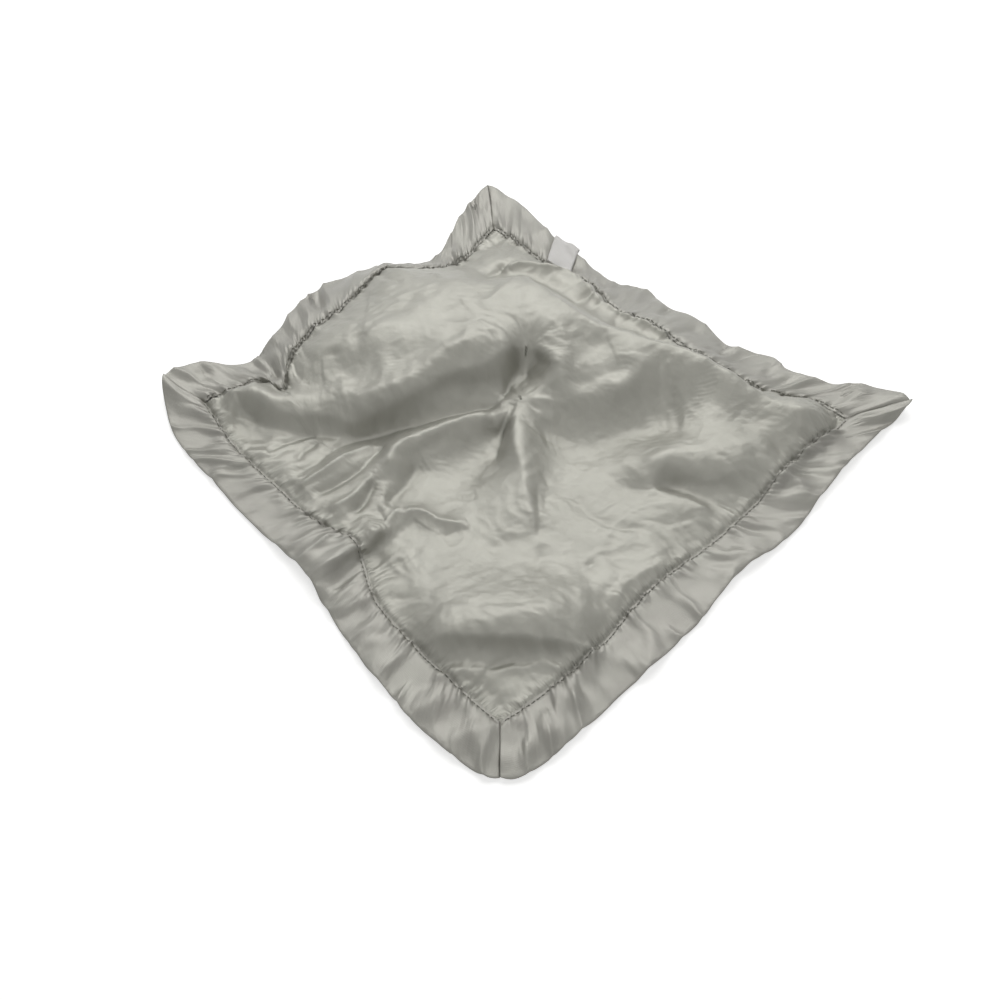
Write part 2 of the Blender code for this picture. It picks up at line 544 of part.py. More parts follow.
def on_panel(spot, layout, face_height, lift):
    """The point on a panel's facets at a place in plan, raised by lift, and the facet's normal."""
    points, normals, faces, _ = layout
    surface = raised(points, normals, np.broadcast_to(face_height, len(points)))
    for face in faces:
        a, b, c = surface[list(face)]
        area = np.cross(b[:2] - a[:2], c[:2] - a[:2])
        s = np.cross(spot - a[:2], c[:2] - a[:2]) / area
        t = np.cross(b[:2] - a[:2], spot - a[:2]) / area
        if s >= 0 and t >= 0 and s + t <= 1:
            up = np.cross(b - a, c - a)
            return a + s * (b - a) + t * (c - a) + up / np.linalg.norm(up) * lift, up / np.linalg.norm(up)
    raise ValueError("this place is outside the panel")


def add_tack(name, middle, heading, layout, material):
    """A short bar of thread that ties the panels to the head's neck."""
    steps = np.linspace(-0.5, 0.5, 5)
    bar = np.array([math.cos(heading), math.sin(heading)]) * TACK_LENGTH
    spots = [np.array(middle) * PANEL_HALF + step * bar for step in steps]
    path, normals = zip(*(on_panel(spot, layout, SATIN_HIGH, 2 * GAP + THREAD_RADIUS) for spot in spots))
    return add_thread(name, np.array(path) - ORIGIN, normals, THREAD_RADIUS, material)


# Care label

def add_label(material):
    """A strip of satin folded once, sewn in at the back seam and lying over the ribbon."""
    grid = ribbon_grid("back")
    _, normals = rows_of("back", [0.0])[0]
    thickness = 2 * LABEL_LEAF + LABEL_GAP
    start = STITCH_INSET + THREAD_RADIUS + thickness + 2 * GAP

    middle = LABEL_PLACE_SHARE * PANEL_CELLS
    column = int(middle)
    half_width = LABEL_WIDTH / 2 / np.linalg.norm(grid[0][column + 1] - grid[0][column])

    def line(at):
        """Points up the label over one line across the ribbon."""
        place = middle + at * half_width
        near = int(place)
        rows = [grid[k][near] + (grid[k][near + 1] - grid[k][near]) * (place - near) for k in range(4)]
        rows[0] = rows[0] + (rows[1] - rows[0]) * (start / TUCK_DEPTH)
        tip = rows[3] - rows[2]
        rows.append(rows[3] + tip / np.linalg.norm(tip) * LABEL_OVERHANG)
        return rows

    lines = [line(at) for at in (-1, 0, 1)]
    normal = normals[column]
    lifts = [2 * GAP, 2 * GAP + LABEL_LEAF, 2 * GAP + LABEL_LEAF + LABEL_GAP, 2 * GAP + thickness]
    stops = len(lines[0])
    # the section runs out along the lower leaf, round the fold and back along the upper leaf
    section = [(k, 0) for k in range(stops)] + [(k, 3) for k in reversed(range(stops))]
    section += [(k, 2) for k in range(stops - 1)] + [(k, 1) for k in reversed(range(stops - 1))]
    points = [lines[m][k] + normal * lifts[level] for m in range(3) for k, level in section]
    size = len(section)
    faces = []
    for m in range(2):
        for k in range(size):
            j = (k + 1) % size
            faces.append((m * size + k, m * size + j, (m + 1) * size + j, (m + 1) * size + k))
    for m in (0, 2):
        base = m * size
        for k in range(stops - 2):
            low, mid = base + k, base + size - 1 - k
            faces.append((low, low + 1, mid - 1, mid))
            high, under = base + 2 * stops - 1 - k, base + 2 * stops + k
            faces.append((high, high - 1, under + 1, under))
        k = stops - 2
        fold = [base + k, base + k + 1, base + k + 2, base + k + 3]
        faces.append((*fold, base + 2 * stops + k, base + size - 1 - k))
    label = facing_out(add_mesh("care_label", np.array(points) - ORIGIN, faces, material))
    hinge = lines[1][0] + normal * (2 * GAP + thickness / 2) - ORIGIN
    carry("care_label_fold", hinge, [label])
    return label


# Head

CROWN = np.array([*CROWN_SHARES, 0.0]) * PANEL_HALF - ORIGIN
NECK = np.array([*NECK_SHARES, 0.0]) * PANEL_HALF - ORIGIN
HEAD_ALONG = (NECK - CROWN) / np.linalg.norm(NECK - CROWN)  # from the crown to the neck
HEAD_ACROSS = np.array([HEAD_ALONG[1], -HEAD_ALONG[0], 0.0])  # to the head's near side
UP = np.array([0.0, 0.0, 1.0])


def height_of_neck(layout, plush_low):
    """The height at which the top of the neck comes up against the plush panel."""
    _, width, depth, _ = SECTION_SHARES[-1]
    room = []
    for turn in np.linspace(0.0, math.pi, HEAD_SIDES // 2 + 1):
        rim = NECK + HEAD_ACROSS * width * HEAD_WIDTH / 2 * math.cos(turn)
        over, _ = on_panel((rim + ORIGIN)[:2], layout, plush_low, 0.0)
        room.append(over[2] - depth * HEAD_DEPTH / 2 * math.sin(turn))
    return min(room) - NECK_SEAT


def section_at(place):
    """Middle, half width and half depth of the head at a place from crown, 0, to neck, 1."""
    table = np.array(SECTION_SHARES)
    width, depth, share = (np.interp(place, table[:, 0], table[:, k]) for k in (1, 2, 3))
    height = NECK_HEIGHT + (HEAD_HEIGHT - NECK_HEIGHT) * share
    middle = NECK + HEAD_ALONG * HEAD_LENGTH * (place - 1) + UP * height
    return middle, width * HEAD_WIDTH / 2, depth * HEAD_DEPTH / 2


def head_rings(inset):
    """Rings of points on the head, inset from its surface, without the crown's single point."""
    rings = []
    for place in [row[0] for row in SECTION_SHARES][1:]:
        middle, width, depth = section_at(place)
        middle = middle + HEAD_ALONG * inset * (1 - 2 * place)
        ring = []
        for k in range(HEAD_SIDES):
            turn = math.tau * k / HEAD_SIDES
            ring.append(middle + HEAD_ACROSS * (width - inset) * math.cos(turn)
                        + UP * (depth - inset) * math.sin(turn))
        rings.append(ring)
    return rings


def tube_faces(start, count, sides):
    """Quads between rings of points that follow each other from index start."""
    faces = []
    for i in range(count - 1):
        for k in range(sides):
            a, b = start + i * sides + k, start + i * sides + (k + 1) % sides
            faces.append((a, b, b + sides, a + sides))
    return faces


def crown_point(inset):
    middle, _, _ = section_at(0.0)
    return middle + HEAD_ALONG * inset


def add_head_skin(material):
    """The plush skin, open at the neck."""
    outer, inner = head_rings(0.0), head_rings(SKIN_THICKNESS)
    inner[-1] = [p + HEAD_ALONG * SKIN_THICKNESS for p in inner[-1]]
    count, sides = len(outer), HEAD_SIDES
    points = [p for ring in outer + inner for p in ring] + [crown_point(0.0), crown_point(SKIN_THICKNESS)]
    shift = count * sides
    faces = tube_faces(0, count, sides) + tube_faces(shift, count, sides)
    for k in range(sides):
        m = (k + 1) % sides
        faces.append((2 * shift, k, m))
        faces.append((2 * shift + 1, shift + k, shift + m))
        last, inside = (count - 1) * sides, shift + (count - 1) * sides
        faces.append((last + k, last + m, inside + m, inside + k))
    return facing_out(add_mesh("head_skin", points, faces, material))


def add_head_solid(name, inset, material, rings_left_out=0):
    """A closed solid of the head's form, with its last rings at the neck left out."""
    rings = head_rings(inset)
    rings = rings[:len(rings) - rings_left_out]
    count, sides = len(rings), HEAD_SIDES
    points = [p for ring in rings for p in ring] + [crown_point(inset)]
    faces = tube_faces(0, count, sides)
    faces += [(count * sides, k, (k + 1) % sides) for k in range(sides)]
    faces.append(tuple((count - 1) * sides + k for k in range(sides)))
    return facing_out(add_mesh(name, points, faces, material))


def add_oval(name, middle, length, width, depth, heading, material, grow=0.0, segments=16):
    """An oval pad, its length along a heading in plan."""
    mesh = bmesh.new()
    bmesh.ops.create_uvsphere(mesh, u_segments=segments, v_segments=segments // 2, radius=1.0)
    size = Matrix.Diagonal((length / 2 + grow, width / 2 + grow, depth / 2 + grow, 1.0))
    bmesh.ops.transform(mesh, matrix=size, verts=mesh.verts)
    data = bpy.data.meshes.new(name)
    mesh.to_mesh(data)
    mesh.free()
    data.shade_smooth()
    data.materials.append(material)
    obj = bpy.data.objects.new(name, data)
    obj.location = Vector(middle)
    obj.rotation_euler = (0.0, 0.0, heading)
    bpy.context.scene.collection.objects.link(obj)
    return obj


def cut(obj, cutter):
    cutter.hide_render = True
    cutter.display_type = "WIRE"
    modifier = obj.modifiers.new("cut_" + cutter.name, "BOOLEAN")
    modifier.operation = "DIFFERENCE"
    modifier.solver = "EXACT"
    modifier.object = cutter
    return obj


def add_ear(name, side, ear_room, plush, satin):
    """A flat plush ear at the head's side, with a satin lining on its face."""
    middle, width, _ = section_at(EAR_PLACE_SHARE)
    ahead = -HEAD_ALONG * math.cos(EAR_SPREAD) + HEAD_ACROSS * side * math.sin(EAR_SPREAD)
    root = middle + HEAD_ACROSS * side * width * EAR_ROOT_SHARE
    root[2] = EAR_HEIGHT
    place = root + ahead * EAR_REACH
    heading = math.atan2(ahead[1], ahead[0])
    ear = add_oval(name, place, EAR_LENGTH, EAR_WIDTH, EAR_DEPTH, heading, plush)
    cut(ear, ear_room)
    lining_place = place + ahead * EAR_LENGTH * LINING_SHIFT_SHARE - UP * (EAR_DEPTH / 2)
    lining = add_oval(name + "_lining", lining_place, EAR_LENGTH * LINING_SIZE_SHARE,
                      EAR_WIDTH * LINING_SIZE_SHARE, LINING_DEPTH, heading, satin)
    ear_cutter = add_oval(name + "_cutter", place, EAR_LENGTH, EAR_WIDTH, EAR_DEPTH, heading, plush, grow=GAP)
    cut(lining, ear_cutter)
    cut(lining, ear_room)
    carry(name + "_fold", root, [ear, lining], HEAD_PIVOT, NECK_MIDDLE)


def add_face(head_cutter, plush, dark, thread):
    """Muzzle, nose, mouth and eyes on the side of the head that faces the table."""
    heading = math.atan2(HEAD_ALONG[1], HEAD_ALONG[0])
    middle, _, _ = section_at(MUZZLE_PLACE_SHARE)
    place = np.array([middle[0], middle[1], MUZZLE_HEIGHT])
    muzzle = add_oval("muzzle", place, MUZZLE_LENGTH, MUZZLE_WIDTH, MUZZLE_DEPTH, heading, plush)
    cut(muzzle, head_cutter)
    muzzle_cutter = add_oval("muzzle_cutter", place, MUZZLE_LENGTH, MUZZLE_WIDTH, MUZZLE_DEPTH, heading,
                             plush, grow=GAP)
    nose_middle, _, _ = section_at(NOSE_PLACE_SHARE)
    nose_place = np.array([nose_middle[0], nose_middle[1], MUZZLE_HEIGHT - MUZZLE_DEPTH / 2])
    nose = add_oval("nose", nose_place, NOSE_LENGTH, NOSE_WIDTH, NOSE_DEPTH, heading, dark)
    cut(nose, muzzle_cutter)
    # the mouth is one curved line of thread on the muzzle, open towards the nose
    path, normals = [], []
    for turn in np.linspace(-1.0, 1.0, 9):
        x = MUZZLE_LENGTH * (MOUTH_FORWARD_SHARE - MOUTH_BEND_SHARE * turn**2)
        y = MUZZLE_WIDTH * MOUTH_WIDTH_SHARE / 2 * turn
        half = np.array([MUZZLE_LENGTH, MUZZLE_WIDTH, MUZZLE_DEPTH]) / 2
        z = -half[2] * math.sqrt(1 - (x / half[0]) ** 2 - (y / half[1]) ** 2)
        normal = np.array([x, y, z]) / half**2
        normal = (HEAD_ALONG * normal[0] + HEAD_ACROSS * normal[1] + UP * normal[2])
        normal /= np.linalg.norm(normal)
        path.append(place + HEAD_ALONG * x + HEAD_ACROSS * y + UP * z + normal * (GAP + THREAD_RADIUS))
        normals.append(normal)
    pieces = [muzzle, nose, add_thread("mouth_stitches", path, normals, THREAD_RADIUS, thread)]
    for name, side in (("eye_left", 1), ("eye_right", -1)):
        middle, width, depth = section_at(EYE_PLACE_SHARE)
        across = side * EYE_SPACING / 2
        sink = depth * math.sqrt(1 - (across / width) ** 2)
        spot = middle + HEAD_ACROSS * across - UP * (sink + GAP)
        eye = add_oval(name, spot, EYE_WIDTH, EYE_WIDTH, EYE_DEPTH, heading, dark, segments=12)
        pieces.append(cut(eye, head_cutter))
    return pieces


def add_neck_stitches(material):
    """The ring of thread that closes the neck against the plush panel."""
    middle, width, depth = section_at(1.0)
    reach = GAP + THREAD_RADIUS
    inset = SKIN_THICKNESS / 2
    path, normals = [], []
    for k in range(HEAD_SIDES):
        turn = math.tau * k / HEAD_SIDES
        out = HEAD_ACROSS * (width - inset) * math.cos(turn) + UP * (depth - inset) * math.sin(turn)
        path.append(middle + out + HEAD_ALONG * reach)
        normals.append(out / np.linalg.norm(out))
    return add_thread("neck_stitches", path, normals, THREAD_RADIUS, material, closed=True)


# The whole toy

clear_scene()
SATIN = fabric("satin_grey", (0.50, 0.50, 0.455), 0.35)
RIBBON = fabric("ribbon_grey", (0.48, 0.475, 0.44), 0.38)
PLUSH = fabric("plush_grey", (0.56, 0.55, 0.51), 0.95)
THREAD = fabric("thread_grey", (0.40, 0.40, 0.37), 0.6)
LABEL = fabric("label_white", (0.85, 0.85, 0.84), 0.45)
STUFFING = fabric("stuffing_white", (0.90, 0.90, 0.88), 1.0)
EMBROIDERY = fabric("embroidery_dark", (0.07, 0.06, 0.055), 0.5)

PANEL_LAYOUT = panel_layout()
PLUSH_LOW = np.where(PANEL_LAYOUT[3], PLUSH_SEAM_LOW, PLUSH_HIGH - PLUSH_THICKNESS)
NECK_HEIGHT = height_of_neck(PANEL_LAYOUT, PLUSH_LOW)
add_panel("satin_panel", PANEL_LAYOUT, SATIN_HIGH, SATIN_LOW, SATIN)
add_panel("plush_panel", PANEL_LAYOUT, PLUSH_HIGH, PLUSH_LOW, PLUSH)
for SIDE in SIDES:
    add_ribbon(SIDE, RIBBON)
    add_stitches(SIDE, THREAD)
CORNERS = {"left": ("front", 0), "front": ("front", -1), "right": ("back", -1), "back": ("back", 0)}
for CORNER, (SIDE, END) in CORNERS.items():
    add_mitre(CORNER, SIDE, END, THREAD)
add_tack("tack_stitch_rear", REAR_TACK_SHARES, REAR_TACK_HEADING, PANEL_LAYOUT, THREAD)
add_tack("tack_stitch_front", FRONT_TACK_SHARES, FRONT_TACK_HEADING, PANEL_LAYOUT, THREAD)
add_label(LABEL)

HEAD_CUTTER = add_head_solid("head_cutter", -GAP, PLUSH)
NECK_MIDDLE = section_at(1.0)[0]
HEAD_PIECES = [add_head_skin(PLUSH), add_neck_stitches(THREAD),
               add_head_solid("head_stuffing", SKIN_THICKNESS + GAP, STUFFING, rings_left_out=1)]
HEAD_PIECES += add_face(HEAD_CUTTER, PLUSH, EMBROIDERY, EMBROIDERY)
HEAD_PIVOT = carry("head_turn", NECK_MIDDLE, HEAD_PIECES)
EAR_ROOM = add_head_solid("ear_room_cutter", -EAR_CLEARANCE, PLUSH)
add_ear("ear_left", 1, EAR_ROOM, PLUSH, SATIN)
add_ear("ear_right", -1, EAR_ROOM, PLUSH, SATIN)
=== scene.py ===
import json
import math

import bpy
import numpy as np
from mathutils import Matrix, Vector


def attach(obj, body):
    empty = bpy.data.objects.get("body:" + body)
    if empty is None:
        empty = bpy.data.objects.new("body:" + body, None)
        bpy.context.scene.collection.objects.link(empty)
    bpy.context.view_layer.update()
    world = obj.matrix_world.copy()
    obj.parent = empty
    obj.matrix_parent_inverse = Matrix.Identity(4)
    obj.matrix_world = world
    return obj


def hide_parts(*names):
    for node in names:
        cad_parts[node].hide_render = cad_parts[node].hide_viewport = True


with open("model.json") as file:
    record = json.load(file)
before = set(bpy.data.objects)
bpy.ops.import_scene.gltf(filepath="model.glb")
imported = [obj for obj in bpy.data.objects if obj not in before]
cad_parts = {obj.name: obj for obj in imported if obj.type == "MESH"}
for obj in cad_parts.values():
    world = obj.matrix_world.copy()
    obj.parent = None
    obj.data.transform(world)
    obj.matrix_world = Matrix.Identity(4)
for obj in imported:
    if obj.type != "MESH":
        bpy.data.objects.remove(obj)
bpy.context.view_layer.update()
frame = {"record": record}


# Satin panel
# The upper cloth of the blanket: grey polyester satin, cut square, smooth side up. It lies over the
# toy's head, and thread through its middle gathers it to the neck, so folds run out from there.

PANEL_HALF = 0.145  # half the side of the flat panel; places on the cloth are shares of it
DRAPE_HEIGHT = 0.036  # of the cloth's highest place over its rest on the table
CLOTH_REST = 0.00265  # of the middle between the two cloths over the table
HEM_DROP = 0.0018  # how far the hem sinks below the cloth's rest
SATIN_FACE = 0.00095  # of the satin's smooth side over the middle between the cloths
SATIN_THICKNESS = 0.0004
TUCK_DEPTH = 0.0085  # how far the panels reach into the ribbon
RIBBON_WIDTH = 0.031
PANEL_CELLS = 280
READ_STEP_SHARE = 0.07  # how far apart the drape's points are read along a line
READ_GAP_SHARE = 0.02  # nearer than this to another point, a point is left out
PLATE_SOFTNESS = 2e-4
ROWS_AT_ONCE = 20000

# The seams between panel and ribbon, as (x share, y share, height share)
seam_shares = {
    "front": [(-0.81, -0.81, 0.01), (-0.52, -0.87, 0.04), (-0.26, -0.88, 0.01), (-0.07, -0.89, 0.04),
              (0.14, -0.86, 0.04), (0.20, -0.88, 0.0), (0.38, -0.97, 0.01), (0.62, -1.0, 0.01),
              (0.84, -1.01, 0.0), (1.02, -1.01, 0.0)],
    "right": [(1.02, -1.01, 0.0), (1.04, -0.84, 0.0), (1.05, -0.61, 0.01), (1.01, -0.27, 0.03),
              (1.03, 0.02, 0.01), (1.03, 0.27, 0.01), (1.01, 0.51, 0.04), (1.01, 0.89, 0.01)],
    "back": [(-0.76, 0.73, 0.01), (-0.59, 0.72, 0.07), (-0.44, 0.70, 0.12), (-0.30, 0.71, 0.16),
             (-0.14, 0.70, 0.20), (-0.04, 0.66, 0.26), (0.06, 0.64, 0.30), (0.18, 0.67, 0.33),
             (0.44, 0.68, 0.28), (0.62, 0.72, 0.18), (0.71, 0.75, 0.12), (0.86, 0.86, 0.04),
             (1.01, 0.89, 0.01)],
    "left": [(-0.81, -0.81, 0.01), (-0.76, -0.69, 0.07), (-0.73, -0.59, 0.09), (-0.61, -0.57, 0.12),
             (-0.70, -0.46, 0.26), (-0.75, -0.32, 0.29), (-0.77, -0.11, 0.34), (-0.79, 0.12, 0.48),
             (-0.70, 0.27, 0.37), (-0.67, 0.42, 0.10), (-0.76, 0.73, 0.01)],
}

# The outer fold of the ribbon, for a ribbon as wide as this share of PANEL_HALF
table_ribbon_share = 0.2138
hem_shares = {
    "front": [(-1.01, -0.86, 0.21), (-0.90, -0.93, 0.01), (-0.73, -1.0, -0.05), (-0.29, -1.05, -0.05),
              (0.15, -1.08, 0.01), (0.25, -1.11, -0.05), (0.42, -1.15, -0.05), (0.66, -1.19, -0.05),
              (0.85, -1.21, -0.05), (1.05, -1.20, -0.05), (1.18, -1.17, -0.05)],
    "right": [(1.18, -1.17, -0.05), (1.22, -1.05, -0.05), (1.23, -0.76, -0.05), (1.22, -0.24, -0.05),
              (1.19, 0.01, -0.05), (1.21, 0.28, -0.05), (1.17, 0.57, -0.05), (1.15, 0.85, -0.05),
              (1.15, 1.14, 0.07)],
    "back": [(-0.99, 0.92, 0.04), (-0.80, 0.94, -0.05), (-0.55, 0.88, -0.04), (-0.28, 0.85, -0.05),
             (-0.14, 0.83, 0.01), (-0.02, 0.91, -0.05), (0.10, 0.87, 0.01), (0.27, 0.90, -0.02),
             (0.44, 0.88, 0.01), (0.61, 0.96, -0.05), (0.68, 0.94, 0.0), (0.86, 1.01, -0.05),
             (0.99, 1.10, 0.01), (1.15, 1.14, 0.07)],
    "left": [(-1.01, -0.86, 0.21), (-0.98, -0.70, 0.04), (-0.87, -0.53, -0.05), (-0.94, -0.25, 0.09),
             (-0.99, -0.01, 0.07), (-0.88, 0.19, 0.15), (-0.79, 0.32, 0.0), (-0.82, 0.48, -0.05),
             (-0.93, 0.70, -0.05), (-0.99, 0.92, 0.04)],
}

# The large folds: crests, creases and feet of slopes
large_fold_shares = [
    # crest along the near side of the head, from the left corner to the rear tack
    [(-0.72, -0.72, 0.26), (-0.55, -0.66, 0.34), (-0.37, -0.51, 0.46), (-0.26, -0.46, 0.48),
     (-0.18, -0.25, 0.82), (-0.15, -0.16, 0.9), (-0.09, -0.01, 0.9), (-0.03, 0.10, 0.73),
     (0.0, 0.15, 0.48)],
    # crease at its foot, from the left corner to the front tack
    [(-0.65, -0.74, 0.07), (-0.50, -0.70, 0.15), (-0.28, -0.51, 0.26), (-0.06, -0.25, 0.32),
     (0.07, -0.06, 0.37), (0.12, 0.0, 0.43)],
    # crease between the two tacks
    [(0.0, 0.15, 0.48), (0.05, 0.01, 0.40), (0.07, -0.06, 0.37)],
    # top of the mound over the head
    [(-0.58, -0.35, 0.62), (-0.45, -0.25, 0.79), (-0.39, -0.15, 0.90), (-0.32, -0.05, 0.96),
     (-0.23, 0.13, 0.98)],
    # its near shoulder
    [(-0.50, -0.44, 0.50), (-0.36, -0.40, 0.55), (-0.26, -0.34, 0.67), (-0.20, -0.22, 0.86)],
    [(-0.52, -0.30, 0.66), (-0.40, -0.26, 0.73), (-0.30, -0.20, 0.85)],
    # its far shoulder
    [(-0.69, -0.15, 0.51), (-0.62, -0.02, 0.71), (-0.53, 0.09, 0.87), (-0.43, 0.21, 0.93)],
    # its far foot
    [(-0.70, 0.13, 0.65), (-0.60, 0.26, 0.54)],
    # ridge from the mound to the right corner
    [(-0.27, 0.15, 1.0), (-0.26, 0.31, 0.98), (-0.22, 0.38, 0.98), (-0.08, 0.38, 0.93),
     (0.17, 0.45, 0.82), (0.35, 0.54, 0.71), (0.63, 0.62, 0.54), (0.89, 0.67, 0.34),
     (0.96, 0.74, 0.26), (0.92, 0.82, 0.21)],
    # steep drop behind the ridge
    [(-0.27, 0.43, 0.76), (-0.20, 0.47, 0.65), (0.11, 0.53, 0.46), (0.46, 0.66, 0.34),
     (0.70, 0.69, 0.26)],
    # second crest along the back seam
    [(-0.48, 0.52, 0.43), (-0.42, 0.58, 0.40), (-0.33, 0.62, 0.38), (-0.13, 0.63, 0.36),
     (0.0, 0.59, 0.37), (0.12, 0.60, 0.38)],
    # hollow between the ridge and the second crest
    [(-0.44, 0.46, 0.39), (-0.35, 0.54, 0.35), (-0.22, 0.56, 0.33), (-0.10, 0.55, 0.34)],
    # shoulder in front of the ridge
    [(0.18, 0.15, 0.73), (0.27, 0.22, 0.71), (0.36, 0.30, 0.68), (0.38, 0.41, 0.71), (0.39, 0.54, 0.68)],
    [(0.08, 0.26, 0.84), (0.19, 0.36, 0.79)],
    # foot of that shoulder
    [(0.26, 0.0, 0.21), (0.44, 0.16, 0.15), (0.54, 0.30, 0.18), (0.52, 0.44, 0.26), (0.57, 0.52, 0.37)],
    # flat middle of the panel
    [(0.55, 0.21, 0.18), (0.65, 0.38, 0.21), (0.77, 0.52, 0.26)],
    [(0.57, -0.04, 0.15), (0.76, -0.25, 0.15), (0.80, -0.08, 0.15), (0.92, 0.05, 0.12)],
    [(0.91, -0.41, 0.18), (0.72, -0.41, 0.15), (0.57, -0.56, 0.15), (0.45, -0.69, 0.15)],
    # flat stretch beside the front ribbon
    [(-0.42, -0.83, 0.07), (-0.25, -0.79, 0.12), (-0.18, -0.66, 0.18), (-0.03, -0.64, 0.15),
     (-0.01, -0.75, 0.12)],
    # crest and foot of the fold across the front corner
    [(0.62, -0.93, 0.15), (0.78, -0.79, 0.23), (0.92, -0.65, 0.22), (0.99, -0.53, 0.15)],
    [(0.62, -0.99, 0.04), (0.69, -0.99, 0.04), (0.81, -0.90, 0.04), (0.96, -0.70, 0.04)],
    [(0.94, -0.93, 0.03)],
    # crest and foot of the fold inside the right ribbon
    [(0.68, 0.0, 0.15), (0.71, 0.11, 0.32), (0.73, 0.17, 0.34), (0.85, 0.24, 0.32), (0.90, 0.37, 0.29),
     (0.93, 0.47, 0.23)],
    [(0.74, 0.12, 0.11), (0.81, 0.15, 0.09), (0.90, 0.19, 0.09), (0.97, 0.31, 0.09)],
    [(0.76, 0.05, 0.16), (0.86, 0.09, 0.16), (0.95, 0.13, 0.09)],
    # slope down to the right corner
    [(0.89, 0.65, 0.32), (0.95, 0.52, 0.09)],
    [(0.99, 0.68, 0.07)],
    # pleat below the crease and its foot
    [(0.12, -0.10, 0.40), (0.04, -0.22, 0.40), (-0.04, -0.47, 0.29), (-0.01, -0.58, 0.21)],
    [(0.14, -0.13, 0.18), (0.10, -0.25, 0.15), (0.06, -0.41, 0.15), (0.10, -0.57, 0.12)],
    # fold that runs from the front tack towards the front corner, and its two feet
    [(0.19, -0.10, 0.37), (0.29, -0.19, 0.34), (0.55, -0.38, 0.21)],
    [(0.33, -0.08, 0.18), (0.50, -0.24, 0.15)],
    [(0.20, -0.18, 0.21), (0.28, -0.27, 0.18)],
]

